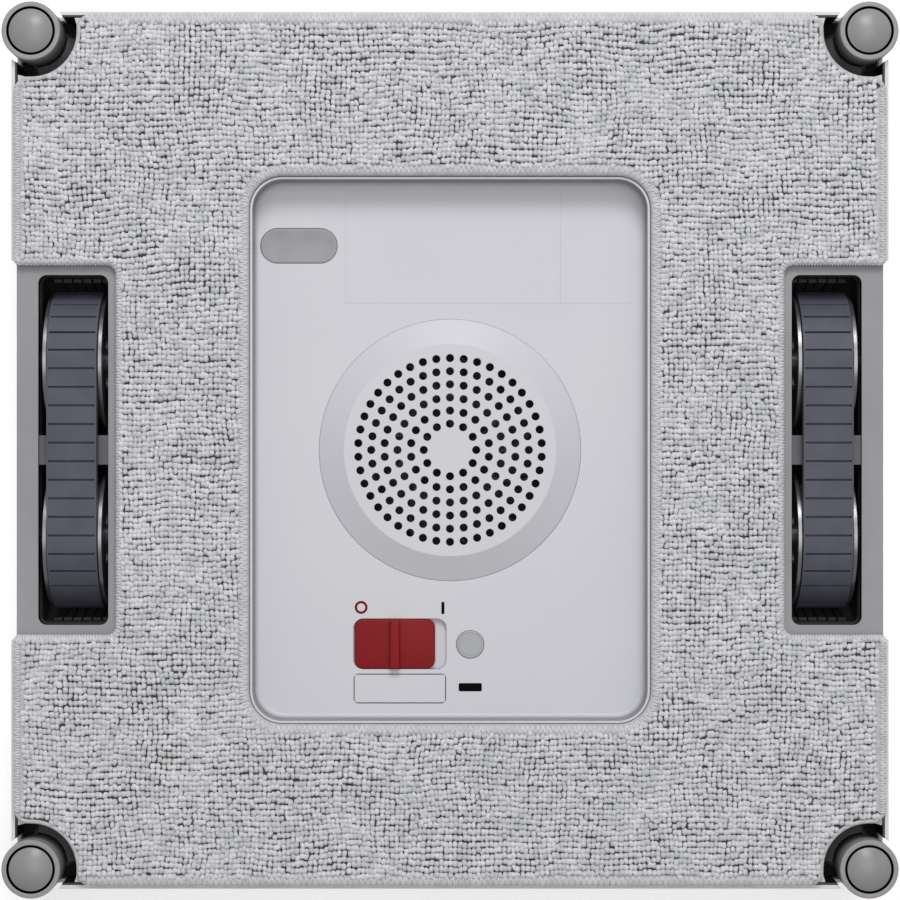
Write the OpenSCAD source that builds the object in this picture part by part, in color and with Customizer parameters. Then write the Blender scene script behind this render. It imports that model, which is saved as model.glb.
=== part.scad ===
// Window cleaning robot, lying on its back with its working face up.
// Millimetres. X runs right and Y runs up the working face, Z points out of it.
// The origin is the middle of the back cover's flat face.

/* [Body] */
// Width and height of the square body
body_w = 272; // [264:1:290]
// Depth from the back face to the track plates
body_t = 50; // [49.5:0.5:56]
// Radius of the body's corners in plan
body_corner_r = 12; // [10:1:15]
// Rounding between the back face and the sides
back_round_r = 9; // [6:0.5:9.5]
// Side wall of the back cover
shell_wall = 1.8; // [1.4:0.1:2.2]
// Floor of the back cover
floor_t = 2.2; // [1.8:0.1:2.6]
// How far the back cover's rim stays below the track plates
rim_drop = 0.8; // [0.4:0.1:1.2]

/* [Base plate and window] */
// Thickness of the base plate's sheet
plate_t = 2.2; // [1.6:0.1:3]
// Width of the suction window
window_w = 122.2; // [116:0.1:124]
// Height of the suction window
window_h = 167.5; // [160:0.1:170]
// Corner radius of the suction window
window_r = 9.3; // [6:0.1:12]
// Depth of the window's floor below the base plate
recess_depth = 7.2; // [6:0.1:9]
// Wall and floor of the window's tray
recess_wall = 2; // [1.6:0.1:2.4]
// Fillet where the tray's wall meets its floor
recess_fillet = 1.6; // [0.8:0.1:2]
// Width of the thin lip round the window
lip_w = 0.7; // [0.5:0.1:1]
// Height of that lip above the base plate
lip_h = 2.3; // [1.5:0.1:3]

/* [Cleaning pad] */
// Gap between the pad's edge and the body's side
pad_inset = 1.2; // [0.5:0.1:4]
// Thickness of the pad
pad_t = 3.4; // [3:0.1:4.5]
// Gap between the pad and the window's lip
pad_lip_gap = 0.3; // [0.2:0.1:0.8]
// Radius of the pad's hollow round each corner roller
pad_arc_r = 14; // [12.5:0.1:16]
// Rounding where that hollow meets the pad's sides
pad_tip_r = 4.6; // [2:0.1:6]
// Length of the notch that leaves each track free
notch_len = 114.3; // [112:0.1:116]
// Distance from the middle of the belt to the bottom of that notch
notch_margin = 13.5; // [12.5:0.1:14.5]
// Corner radius at the bottom of the notch
notch_r = 2.8; // [1.5:0.1:4]
// Rounding of the pad's corners beside the notch
notch_tip_r = 1.9; // [1:0.1:3]
// Thickness of the hook strips under the pad
hook_t = 0.8; // [0.6:0.1:1.2]

/* [Tracks] */
// Distance from the body's side to the middle of the belt
track_inset = 19.3; // [19:0.1:20]
// Distance between the axles of each track's two wheels
wheel_cc = 55; // [50:0.5:55.5]
// Radius of the belt's core line round the wheels
belt_core_r = 20.1; // [19.7:0.1:20.3]
// Thickness of the belt outside its core line
belt_back = 2.5; // [2:0.1:2.8]
// Width of the guide rib inside the belt
guide_rib_w = 4; // [2:0.5:6]
// Height of that rib
guide_rib_h = 1.6; // [1:0.1:2]
// Width of the belt
belt_w = 15.4; // [14:0.1:16]
// How far the belt stands out of the pad
belt_proud = 0.5; // [0.2:0.1:1]
// Number of tread lugs round the belt
lug_count = 40; // [30:1:46]
// Depth of the grooves between the lugs
lug_groove_d = 1.1; // [0.6:0.1:1.3]
// Width of those grooves
lug_groove_w = 0.6; // [0.4:0.1:1]
// Radius of the wheels' flanges
flange_r = 21.7; // [21:0.1:22.1]
// Thickness of the wheels' flanges
flange_t = 1.1; // [0.8:0.1:1.4]
// Width of the opening in the track plate
well_open_w = 21.7; // [20:0.1:22.5]
// Corner radius of that opening
well_open_r = 2.6; // [1.5:0.1:4]
// Width of the well below its lip
well_w = 25; // [24:0.1:25.4]
// Gap between the belt and the ends of the well
well_gap = 4.1; // [3.5:0.1:4.3]
// Depth of the lip round the opening
well_lip_d = 8; // [5:0.5:9]
// Walls of the track frame
frame_wall = 1.8; // [1.4:0.1:1.8]
// Thickness of the track plate
frame_plate_t = 2; // [1.6:0.1:2.4]

/* [Corner rollers] */
// Distance from the body's side to a roller's axis
roller_inset = 6.6; // [6:0.1:7]
// Radius of a corner roller
roller_r = 9.04; // [8.6:0.01:9.5]
// Height of a corner roller
roller_h = 11.2; // [10.5:0.1:11.6]
// Radius of the dished face that holds the sensor dome
roller_dish_r = 7.5; // [7.3:0.1:7.8]
// Radius of the sensor dome
dome_r = 6.77; // [6.6:0.01:7]
// Height of the dome's crown
dome_crown = 2.2; // [1.2:0.1:2.4]
// Travel of the edge sensor
sensor_travel = 2.2; // [1.5:0.1:2.2]
// Radius of the notch cut in the back cover round each roller
corner_cut_r = 10.45; // [10.2:0.05:11]

/* [Fan] */
// Radius of the fan grille's flat top
grille_top_r = 33.06; // [31:0.1:34]
// Radius of the fan grille's cone at the window's floor
grille_base_r = 41.04; // [40:0.1:43]
// Height of the fan grille above the window's floor
grille_h = 4; // [3:0.1:5]
// Radius of one hole
grille_hole_r = 1.26; // [0.8:0.01:1.5]
// Number of rings of holes
grille_rings = 6; // [3:1:6]
// Distance between the rings of holes
grille_ring_pitch = 4.09; // [3.8:0.01:4.2]
// Radius of the impeller
impeller_r = 31; // [26:0.5:34]
// Number of impeller blades
impeller_blades = 11; // [7:1:13]

/* [Controls] */
// Length of the power switch's slot
slot_w = 29.16; // [27:0.1:30]
// Height of the power switch's slot
slot_h = 15.85; // [15.8:0.01:17]
// Corner radius of the slot
slot_r = 3.05; // [1.5:0.05:4]
// Length of the red slider
slider_w = 25.15; // [23:0.05:25.3]
// Height of the red slider
slider_h = 15.43; // [14:0.01:15.6]
// Height of the slider's ridge above its plate
slider_ridge_h = 2.6; // [1.5:0.1:3.5]
// Width of the slider's ridge
slider_ridge_w = 3.2; // [2:0.1:5]
// Radius of the round button
reset_r = 4.32; // [3.5:0.01:4.6]
// Travel of the round button
reset_travel = 0.8; // [0.4:0.1:1]
// Radius of the start button in the back cover
start_r = 11; // [8:0.5:12]
// Travel of the start button
start_travel = 1; // [0.5:0.1:1.2]
// Length of the rubber port cover
port_w = 24; // [20:0.1:26]
// Height of the rubber port cover
port_h = 10.87; // [9:0.01:12]
// Radius of the cord's way through its gland
cord_bore_r = 2.4; // [2:0.1:3]

/* [Hidden] */
$fn = 64;

// Clearances and the overrun of cuts
run_fit = 0.05;
loose_fit = 0.2;
overrun = 1;

// Reference planes
half_w = body_w / 2;
shell_in = half_w - shell_wall;
plate_top = body_t - hook_t;
plate_low = plate_top - plate_t;
recess_z = plate_top - recess_depth;
recess_low = recess_z - recess_wall;
pad_w = body_w - 2 * pad_inset;
pad_top = body_t + pad_t;
pad_crown_share = 0.2;

// Belt drive
belt_len = 2 * wheel_cc + 2 * PI * belt_core_r;
belt_land = 0.5;
belt_in_r = belt_core_r - belt_land;
belt_r = belt_core_r + belt_back;
rib_side_gap = 0.1;
lug_pitch = belt_len / lug_count;
lug_start_share = 0.165;
track_x = half_w - track_inset;
axle_z = pad_top + belt_proud - belt_r;
axle_r = 3;
well_r = belt_r + well_gap;
frame_low = axle_z - well_r - frame_wall;
frame_chamfer = 2;
belt_side_gap = 0.3;
wheel_w = belt_w + 2 * belt_side_gap;
hub_r = 5;
web_hole_r = 2.6;
web_hole_at = (belt_core_r + axle_r) / 2;
web_holes = 6;
bush_r = 4.5;
bush_rim_r = 5.5;
bush_rim_t = 0.8;
well_x0 = track_x - well_w / 2;
well_x1 = track_x + well_w / 2;
frame_x0 = well_x0 - frame_wall;
frame_x1 = well_x1 + frame_wall;
frame_under_pad = 1.5;
frame_half = notch_len / 2 + frame_under_pad;
panel_x1 = shell_in;
panel_drop = 22;
panel_low = body_t - panel_drop;
notch_in_x = track_x - notch_margin;
plate_x0 = notch_in_x - frame_wall;
rib_t = 2.6;
rib_h = 1.1;
rib_pitch = 3.1;
rib_count = 6;
guide_len = 9.1;
guide_deep = 11;
guide_gap = 0.3;
rest_len = 8;

// Drive gears and motors
gear_pitch = 3.1416;
gear_teeth = 24;
pinion_teeth = 12;
gear_pitch_r = gear_teeth * gear_pitch / (2 * PI);
pinion_pitch_r = pinion_teeth * gear_pitch / (2 * PI);
gear_cc = gear_pitch_r + pinion_pitch_r;
gear_add = 0.9;
gear_ded = 1.15;
gear_tooth_w = 1.4;
gear_tip_share = 0.55;
gear_root_share = 1.35;
gear_t = 4;
gear_gap = 0.9;
gear_x1 = frame_x0 - gear_gap;
motor_r = 12;
motor_gap = 1.9;
motor_plate_t = 2;
motor_plate_gap = 7.4;
motor_plate_x1 = frame_x0 - motor_plate_gap;
motor_plate_x0 = motor_plate_x1 - motor_plate_t;
motor_len = motor_plate_x0 - window_w / 2 - recess_wall - motor_gap;
motor_plate_h = 29;
motor_plate_margin = 13;
motor_post_r = 2.5;
motor_post_rise = 11.7;
motor_post_out = 24.5;
motor_post_in = 23.5;
motor_shaft_r = 1.05;
motor_tail = 3;
motor_nose_r = 4;

// Corner units
roller_c = half_w - roller_inset;
roller_below_pad = 0.2;
roller_top = pad_top - roller_below_pad;
roller_low = roller_top - roller_h;
hub_tube_r = 6.2;
hub_bore_r = 4.2;
hub_snap_h = 0.6;
hub_snap = 0.35;
stem_r = 2.5;
dome_rim_h = 1.4;
dome_rim_drop = 0.2;
dome_rim_top = roller_top - dome_rim_drop;
dome_low = dome_rim_top - dome_rim_h;
hub_top = dome_low - sensor_travel - 2 * loose_fit;
bracket_t = 2;
bracket_gap = 3.2;
bracket_top = roller_low - bracket_gap;
bracket_low = bracket_top - bracket_t;
bracket_margin = 1.3;
bracket_r = pad_arc_r + bracket_margin;
bracket_wall = 1.4;
spring_seat_h = 4;
spring_seat = bracket_top + spring_seat_h;
spring_wire_r = 0.35;
spring_r = 3.35;
spring_turns = 4.5;
spring_steps = 8;
spring_sides = 6;
skirt_turns = [-42.5, -21.5, -7, 7, 21.5, 42.5];
skirt_out_r = 13.2;
skirt_top_share = 0.74;
skirt_h = 2.9;
skirt_back_share = 0.3;
corner_post_r = 4;
corner_post_in = 6;

// Screws that hold the base plate
screw_r = 1.5;
screw_len = 12;
screw_head_r = 3.1;
screw_head_h = 1.5;
screw_slot_w = 0.8;
boss_r = 4;
boss_deep = 14;
screw_edge = 24;
screw_x = 80;
screw_mid_x = 85;
screw_mid_y = 78;
screw_places = [
    [screw_x, half_w - screw_edge],
    [screw_mid_x, screw_mid_y]
];

// Hook strips
hook_w = 12;
hook_gap = 4;
hook_end_inset = 32;
hook_x = half_w - hook_end_inset;
hook_side_half = 60;

// Fan
grille_wall = 1.6;
grille_seat_in = 2;
grille_seat_r = grille_base_r - grille_seat_in;
grille_first_count = 12;
grille_step_count = 6;
seal_t = 1.9;
fan_case_r = 40;
fan_case_wall = 1.6;
fan_case_floor = 1.8;
fan_case_top = recess_low - seal_t;
duct_w = 44;
duct_past_slots = 4;
duct_h = 18;
fan_motor_r = 20;
fan_motor_h = 13;
fan_motor_neck_r = 8;
fan_motor_neck_h = 2;
fan_shaft_r = 2;
impeller_hub_r = 6;
impeller_plate_t = 1.5;
impeller_clear = 1.2;
impeller_blade_t = 1.2;
impeller_arc_r = 24;
impeller_arc_shares = [0.8, 0.6];
impeller_back_share = 0.2;
impeller_z = floor_t + fan_case_floor + fan_motor_h + fan_motor_neck_h + impeller_clear;
impeller_top = fan_case_top - impeller_clear;
exhaust_w = 40;
exhaust_h = 20;
exhaust_y = -52;
exhaust_slots = 6;
exhaust_slot_w = 1.8;
exhaust_rim = 1.6;
duct_y = exhaust_y - exhaust_h / 2 - duct_past_slots;

// Power switch, button, cover and marks on the window's floor
slot_x = -15.65;
label_h = 9.3;
label_gap = 1.42;
controls_top_share = 0.727;
controls_room = window_h / 2 - grille_base_r - slot_h - label_gap - label_h;
slot_y = -(grille_base_r + controls_top_share * controls_room + slot_h / 2);
slider_end_gap = 0.4;
slider_r = 2.75;
slider_t = 2;
slider_proud = 0.4;
slider_travel = slot_w - slider_w - 2 * slider_end_gap;
slider_x = slot_x - slot_w / 2 + slider_end_gap + slider_w / 2;
slider_top = recess_z + slider_proud;
stem_w = 4;
stem_d = 3;
stem_deep = 4;
switch_rim = 1.5;
switch_tray_t = 1.6;
switch_case_h = 4.4;
switch_board_t = 1.6;
switch_board_w = 48;
switch_board_h = 20;
switch_board_x = -8.7;
switch_board_top = recess_low - switch_tray_t - switch_case_h;
reset_x = 6.33;
reset_below_slot = 0.16;
reset_y = slot_y - reset_below_slot;
reset_rim = 0.9;
reset_rim_t = 1;
tact_w = 6;
tact_stem_r = 1.6;
tact_engage = 1.2;
reset_tact_top = recess_low - run_fit - reset_rim_t - reset_travel - loose_fit;
label_y = slot_y - slot_h / 2 - label_gap - label_h / 2;
bar_above_label = 0.4;
window_bar_x = 6.33;
window_bar_y = label_y + bar_above_label;
window_bar_w = 7.2;
window_bar_h = 2.54;
window_bar_r = 0.5;
label_x = -15.7;
label_w = 28.9;
label_r = 1.4;
label_line = 0.3;
label_deep = 0.2;
port_inset_x = 13.8;
port_inset_y = 19.85;
port_x = port_inset_x - window_w / 2;
port_y = window_h / 2 - port_inset_y;
port_deep = 4;
port_rim = 1.4;
port_dish = 0.4;
port_socket_w = 15;
port_socket_h = 7;
port_socket_deep = 9;

// Start button in the back
start_y = 62;
start_sunk = 0.3;
start_cap_t = 2.9;
start_rim = 1.3;
start_tact_low = start_sunk + start_cap_t + start_travel + loose_fit;
start_board_z = 9;
start_board_t = 1.6;
start_board_w = 38;
start_board_h = 9;
start_post_r = 2.5;
start_post_x = 16;

// Rope anchor, cord gland and what the body holds
rope_w = 34;
rope_h = 15;
rope_deep = 12;
rope_wall = 1.6;
rope_bar_r = 1.75;
rope_bar_z = 4.5;
rope_inset = 20;
rope_y = half_w - rope_inset;
rope_seat = 1.2;
gland_x = -45;
gland_inset = 20;
gland_y = half_w - gland_inset;
gland_r = 5.5;
gland_rim_r = 7.5;
gland_rim_t = 2;
gland_len = 8;
gland_sunk = 0.5;
cell_r = 9.2;
cell_len = 65;
cell_rows = 2;
cell_wall = 1;
cell_gap = 0.4;
cell_pitch = 2 * cell_r + cell_gap;
battery_h = cell_rows * cell_pitch + 2 * cell_wall;
battery_out_share = 0.2937;
battery_room = shell_in + duct_y - battery_h;
battery_y = battery_out_share * battery_room + battery_h / 2 - shell_in;
board_w = 120;
board_h = 34;
board_t = 1.6;
board_z = 22;
board_inset = 28;
board_y = half_w - board_inset;
board_post_r = 3;
board_post_edge = 4;
chip_w = 16;
chip_t = 2.2;
chip_steps = [-2, 0, 2];

// Rounded rectangle about its middle
module rounded_rect(w, h, r) {
    square([w, h - 2 * r], center = true);
    square([w - 2 * r, h], center = true);
    for (x = [-1, 1], y = [-1, 1])
        translate([x * (w / 2 - r), y * (h / 2 - r)]) circle(r);
}

// Slab of a plane shape between two heights
module slab(low, top) {
    translate([0, 0, low]) linear_extrude(top - low) children();
}

// Slab of a side view, drawn with Y and Z, between two places along X
module side_slab(x0, x1) {
    translate([x0, 0, 0]) rotate([90, 0, 90]) linear_extrude(x1 - x0) children();
}

// Turns the top right corner's pieces to the others, anticlockwise
module corner(k) {
    rotate([0, 0, 90 * k]) children();
}

module left_side() {
    mirror([1, 0, 0]) children();
}

module ring(outer, inner) {
    difference() {
        circle(outer);
        circle(inner);
    }
}

// Square body with round corners in plan and a rounded lower edge
module edge_profile(width, round_r, top) {
    translate([0, round_r]) square([width, top - round_r]);
    square([width - round_r, round_r]);
    intersection() {
        translate([width - round_r, round_r]) circle(round_r);
        translate([width - round_r, 0]) square([round_r, round_r]);
    }
}

module rounded_body(half, corner_r, round_r, top) {
    straight = half - corner_r;
    translate([-straight, -straight, 0]) cube([2 * straight, 2 * straight, top]);
    for (k = [0 : 3]) rotate([0, 0, 90 * k]) {
        translate([straight, 0, 0]) rotate([90, 0, 0])
            linear_extrude(2 * straight, center = true) edge_profile(corner_r, round_r, top);
        translate([straight, straight, 0])
            rotate_extrude(angle = 90) edge_profile(corner_r, round_r, top);
    }
}

module at_screws() {
    for (p = screw_places, x = [-1, 1], y = [-1, 1]) translate([x * p[0], y * p[1], 0]) children();
}

// Outer shell
module back_cover_solid() {
    difference() {
        rounded_body(half_w, body_corner_r, back_round_r, body_t - rim_drop);
        translate([0, 0, floor_t])
            rounded_body(shell_in, body_corner_r - shell_wall, back_round_r - shell_wall, body_t);
    }
    at_screws() slab(floor_t, plate_low) circle(boss_r);
    for (k = [0 : 3]) corner(k)
        translate([roller_c - corner_post_in, roller_c - corner_post_in, 0])
            slab(floor_t, bracket_low) circle(corner_post_r);
    for (x = [-1, 1])
        translate([x * track_x, 0, 0])
            slab(floor_t, frame_low) square([well_w, rest_len], center = true);
    for (x = [-1, 1], y = [-1, 1])
        translate([x * (board_w / 2 - board_post_edge), board_y + y * (board_h / 2 - board_post_edge), 0])
            slab(floor_t, board_z) circle(board_post_r);
    for (x = [-1, 1])
        translate([x * start_post_x, start_y, 0])
            slab(floor_t, start_board_z) circle(start_post_r);
    translate([0, rope_y, 0])
        slab(floor_t, rope_deep + rope_wall)
            square([rope_w + 2 * rope_wall, rope_h + 2 * rope_wall], center = true);
}

module back_cover() {
    color("gainsboro") difference() {
        back_cover_solid();
        at_screws() slab(plate_low - boss_deep, body_t) circle(screw_r + run_fit);
        for (k = [0 : 3]) corner(k)
            translate([roller_c, roller_c, 0]) slab(bracket_top, body_t) circle(corner_cut_r);
        for (x = [-1, 1])
            translate([x * half_w, 0, 0])
                slab(panel_low - loose_fit, body_t)
                    square([2 * body_corner_r, 2 * (frame_half + loose_fit)], center = true);
        translate([0, start_y, 0]) slab(-overrun, floor_t + overrun) circle(start_r + loose_fit / 2);
        translate([gland_x, gland_y, 0]) slab(-overrun, floor_t + overrun) circle(gland_r + run_fit);
        translate([0, exhaust_y, 0])
            slab(-overrun, floor_t + overrun)
                rounded_rect(exhaust_w + run_fit, exhaust_h + run_fit, exhaust_rim);
        translate([0, rope_y, 0]) slab(-overrun, rope_deep) square([rope_w, rope_h], center = true);
        translate([0, rope_y, rope_bar_z])
            side_slab(-rope_w / 2 - rope_seat, rope_w / 2 + rope_seat) circle(rope_bar_r + run_fit);
    }
}

// Plate that carries the pad, with the tray of the suction window
module base_outline() {
    difference() {
        rounded_rect(2 * (shell_in - loose_fit), 2 * (shell_in - loose_fit),
            body_corner_r - shell_wall);
        for (k = [0 : 3]) rotate(90 * k)
            translate([roller_c, roller_c]) circle(pad_arc_r - loose_fit);
        for (x = [-1, 1])
            translate([x * (plate_x0 - loose_fit + half_w / 2), 0])
                square([half_w, 2 * (frame_half + loose_fit)], center = true);
    }
}

module recess_space() {
    difference() {
        slab(recess_z, body_t + pad_t) rounded_rect(window_w, window_h, window_r);
        for (s = [-1, 1]) {
            translate([s * window_w / 2, 0, recess_z]) rotate([90, 0, 0])
                linear_extrude(window_h - 2 * window_r, center = true) fillet_shape(-s);
            translate([0, s * window_h / 2, recess_z]) rotate([90, 0, 90])
                linear_extrude(window_w - 2 * window_r, center = true) fillet_shape(-s);
        }
        for (x = [-1, 1], y = [-1, 1])
            translate([x * (window_w / 2 - window_r), y * (window_h / 2 - window_r), recess_z])
                rotate([0, 0, x > 0 ? (y > 0 ? 0 : -90) : (y > 0 ? 90 : 180)])
                    rotate_extrude(angle = 90) translate([window_r, 0]) fillet_shape(-1);
    }
}

// Filler between a wall and a floor, on the side given
module fillet_shape(side) {
    difference() {
        translate([side > 0 ? 0 : -recess_fillet, 0]) square(recess_fillet);
        translate([side * recess_fillet, recess_fillet]) circle(recess_fillet);
    }
}

module base_plate() {
    color("lavender") difference() {
        union() {
            slab(plate_low, plate_top) base_outline();
            slab(recess_low, plate_top + lip_h)
                rounded_rect(window_w + 2 * lip_w, window_h + 2 * lip_w, window_r + lip_w);
            slab(recess_low, plate_top)
                rounded_rect(window_w + 2 * recess_wall, window_h + 2 * recess_wall,
                    window_r + recess_wall);
        }
        recess_space();
        slab(recess_low - overrun, recess_z + overrun) circle(grille_seat_r + run_fit);
        translate([slot_x, slot_y, 0])
            slab(recess_low - overrun, recess_z + overrun) rounded_rect(slot_w, slot_h, slot_r);
        translate([reset_x, reset_y, 0])
            slab(recess_low - overrun, recess_z + overrun) circle(reset_r + loose_fit / 2);
        translate([port_x, port_y, 0])
            slab(recess_low - overrun, recess_z + overrun)
                rounded_rect(port_w + loose_fit, port_h + loose_fit, port_h / 2);
        translate([window_bar_x, window_bar_y, 0])
            slab(recess_low - overrun, recess_z + overrun)
                rounded_rect(window_bar_w + run_fit, window_bar_h + run_fit, window_bar_r);
        translate([label_x, label_y, 0])
            slab(recess_z - label_deep, recess_z + overrun) difference() {
                rounded_rect(label_w, label_h, label_r);
                rounded_rect(label_w - 2 * label_line, label_h - 2 * label_line, label_r - label_line);
            }
        at_screws() slab(plate_low - overrun, plate_top + overrun) circle(screw_r + loose_fit);
        at_screws() slab(plate_top - screw_head_h - run_fit, plate_top + overrun)
            circle(screw_head_r + loose_fit);
    }
}

module plate_screws() {
    color("silver") at_screws() difference() {
        union() {
            slab(plate_top - screw_head_h, plate_top) circle(screw_head_r);
            slab(plate_top - screw_len, plate_top) circle(screw_r);
        }
        for (a = [0, 90]) rotate([0, 0, a])
            slab(plate_top - screw_head_h / 2, plate_top + overrun)
                square([screw_head_r, screw_slot_w], center = true);
    }
}

// Raised disc with six rings of round holes
module grille_holes() {
    for (i = [0 : grille_rings - 1])
        for (j = [0 : grille_first_count + grille_step_count * i - 1])
            rotate(90 + 360 * j / (grille_first_count + grille_step_count * i))
                translate([(i + 2) * grille_ring_pitch, 0]) circle(grille_hole_r, $fn = 24);
}

module fan_grille() {
    top = recess_z + grille_h;
    color("lavender") {
        slab(top - grille_wall, top) difference() {
            circle(grille_top_r);
            grille_holes();
        }
        rotate_extrude() polygon([
            [grille_top_r, top],
            [grille_base_r, recess_z],
            [grille_seat_r, recess_z],
            [grille_seat_r, recess_low],
            [grille_seat_r - grille_wall, recess_low],
            [grille_seat_r - grille_wall, recess_z],
            [grille_top_r - grille_wall, top - grille_wall],
            [grille_top_r - grille_wall, top]
        ]);
    }
}

// Microfibre pad, a flat frame with hollows for the rollers and notches for the tracks
module pad_outline() {
    offset(r = notch_tip_r) offset(delta = -notch_tip_r) difference() {
        offset(r = pad_tip_r) offset(delta = -pad_tip_r) difference() {
            square(pad_w, center = true);
            for (k = [0 : 3]) rotate(90 * k) translate([roller_c, roller_c]) circle(pad_arc_r);
        }
        for (x = [-1, 1])
            translate([x * (notch_in_x + pad_w / 2), 0]) rounded_rect(pad_w, notch_len, notch_r);
    }
}

module pad_window() {
    grow = 2 * (lip_w + pad_lip_gap);
    rounded_rect(window_w + grow, window_h + grow, window_r + grow / 2);
}

module cleaning_pad() {
    crown = pad_crown_share * pad_t;
    color("lightgray", 1) {
        slab(body_t, pad_top - crown) difference() {
            pad_outline($fn = 32);
            pad_window($fn = 32);
        }
        slab(pad_top - crown, pad_top) difference() {
            offset(delta = -crown) pad_outline($fn = 32);
            offset(delta = crown) pad_window($fn = 32);
        }
    }
}

module hook_strips() {
    inner_y = window_h / 2 + recess_wall + hook_gap;
    outer_y = half_w - screw_edge + hook_gap;
    side_x = (window_w / 2 + recess_wall + plate_x0) / 2;
    color("dimgray") slab(plate_top, body_t) {
        for (y = [-1, 1]) {
            translate([0, y * (inner_y + hook_w / 2)]) square([2 * hook_x, hook_w], center = true);
            translate([0, y * (outer_y + hook_w / 2)]) square([2 * hook_x, hook_w], center = true);
        }
        for (x = [-1, 1])
            translate([x * side_x, 0]) square([hook_w, 2 * hook_side_half], center = true);
    }
}

// Side view of the well: round at both ends below the axles, straight above them
module well_side(r, top) {
    intersection() {
        loop_shape(r);
        translate([-wheel_cc / 2 - r, axle_z - r]) square([wheel_cc + 2 * r, r]);
    }
    translate([-wheel_cc / 2 - r, axle_z]) square([wheel_cc + 2 * r, top - axle_z]);
}

module well_ribs() {
    for (i = [0 : rib_count - 1], s = [0, 1])
        mirror([0, s, 0])
            side_slab(track_x + (i - (rib_count - 1) / 2) * rib_pitch - rib_t / 2,
                track_x + (i - (rib_count - 1) / 2) * rib_pitch + rib_t / 2)
                intersection() {
                    translate([wheel_cc / 2, axle_z]) ring(well_r + frame_wall / 2, well_r - rib_h);
                    translate([wheel_cc / 2, axle_z - well_r]) square([2 * well_r, well_r]);
                }
}

module track_frame() {
    color("darkgray") {
        difference() {
            union() {
                side_slab(frame_x0, frame_x1) well_side(well_r + frame_wall, body_t);
                slab(body_t - frame_plate_t, body_t)
                    translate([(plate_x0 + panel_x1) / 2, 0])
                        square([panel_x1 - plate_x0, 2 * frame_half], center = true);
                slab(panel_low, body_t)
                    translate([(frame_x1 + panel_x1) / 2, 0])
                        square([panel_x1 - frame_x1, 2 * frame_half], center = true);
            }
            side_slab(well_x0, well_x1) well_side(well_r, body_t - well_lip_d);
            slab(body_t - well_lip_d - overrun, body_t + overrun)
                translate([track_x, 0]) rounded_rect(well_open_w, wheel_cc + 2 * well_r, well_open_r);
            side_slab(frame_x0 - overrun, frame_x1)
                for (y = [-1, 1]) translate([y * wheel_cc / 2, axle_z]) circle(bush_r + run_fit);
            translate([frame_x1, frame_half, frame_low]) rotate([90, 0, 0])
                linear_extrude(2 * frame_half) polygon([
                    [-frame_chamfer, 0],
                    [-frame_chamfer - overrun, -overrun],
                    [overrun, -overrun],
                    [overrun, frame_chamfer + overrun]
                ]);
        }
        well_ribs();
    }
}

// Places a drawing on the belt's path, with its own up pointing out of the loop
module on_belt(s) {
    arc = PI * belt_core_r;
    on_top = s < wheel_cc;
    on_front = !on_top && s < wheel_cc + arc;
    on_low = !on_top && !on_front && s < 2 * wheel_cc + arc;
    y = on_top ? s - wheel_cc / 2
        : on_front ? wheel_cc / 2
        : on_low ? wheel_cc / 2 - (s - wheel_cc - arc)
        : -wheel_cc / 2;
    turn = on_top ? 0
        : on_front ? -180 * (s - wheel_cc) / arc
        : on_low ? -180
        : -180 - 180 * (s - 2 * wheel_cc - arc) / arc;
    translate([y, axle_z]) rotate(turn) children();
}

module loop_shape(r) {
    for (y = [-1, 1]) translate([y * wheel_cc / 2, axle_z]) circle(r);
    translate([-wheel_cc / 2, axle_z - r]) square([wheel_cc, 2 * r]);
}

module track_belt() {
    color("slategray") {
        side_slab(track_x - belt_w / 2, track_x + belt_w / 2) difference() {
            loop_shape(belt_r);
            loop_shape(belt_in_r);
            for (i = [0 : lug_count - 1])
                on_belt((i + lug_start_share) * lug_pitch)
                    translate([-lug_groove_w / 2, belt_r - lug_groove_d])
                        square([lug_groove_w, lug_groove_d + overrun]);
        }
        side_slab(track_x - guide_rib_w / 2, track_x + guide_rib_w / 2) difference() {
            loop_shape(belt_core_r);
            loop_shape(belt_in_r - guide_rib_h);
        }
    }
}

// Wheel between two flanges, with a groove for the belt's rib, turning about X
module belt_wheel(y, bore_r) {
    half_len = wheel_w / 2;
    groove_half = guide_rib_w / 2 + rib_side_gap;
    spread = half_len + flange_t;
    hub_half = well_w / 2 - bush_rim_t - run_fit;
    translate([0, y, axle_z]) difference() {
        union() {
            side_slab(track_x - half_len, track_x + half_len) circle(belt_in_r - run_fit);
            side_slab(track_x - spread, track_x - half_len) circle(flange_r);
            side_slab(track_x + half_len, track_x + spread) circle(flange_r);
            side_slab(track_x - hub_half, track_x + hub_half) circle(hub_r);
        }
        side_slab(track_x - well_w, track_x + well_w) {
            circle(bore_r);
            for (i = [0 : web_holes - 1]) rotate(360 * i / web_holes)
                translate([web_hole_at, 0]) circle(web_hole_r);
        }
        side_slab(track_x - groove_half, track_x + groove_half)
            ring(belt_r, belt_in_r - guide_rib_h - run_fit);
    }
}

module drive_wheel() {
    color("gray") belt_wheel(-wheel_cc / 2, axle_r + run_fit / 2);
}

module idler_wheel() {
    color("gray") belt_wheel(wheel_cc / 2, axle_r + run_fit);
}

module drive_axle() {
    color("silver") translate([0, -wheel_cc / 2, axle_z])
        side_slab(gear_x1 - gear_t - bush_rim_t, frame_x1 - loose_fit) circle(axle_r);
}

module idler_axles() {
    color("silver") for (s = [0, 1]) mirror([s, 0, 0]) translate([0, wheel_cc / 2, axle_z]) {
        side_slab(frame_x0 - bush_rim_t, frame_x1 - loose_fit) circle(axle_r);
        side_slab(frame_x0 - bush_rim_t, frame_x0) circle(bush_r + bush_rim_t);
    }
}

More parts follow.
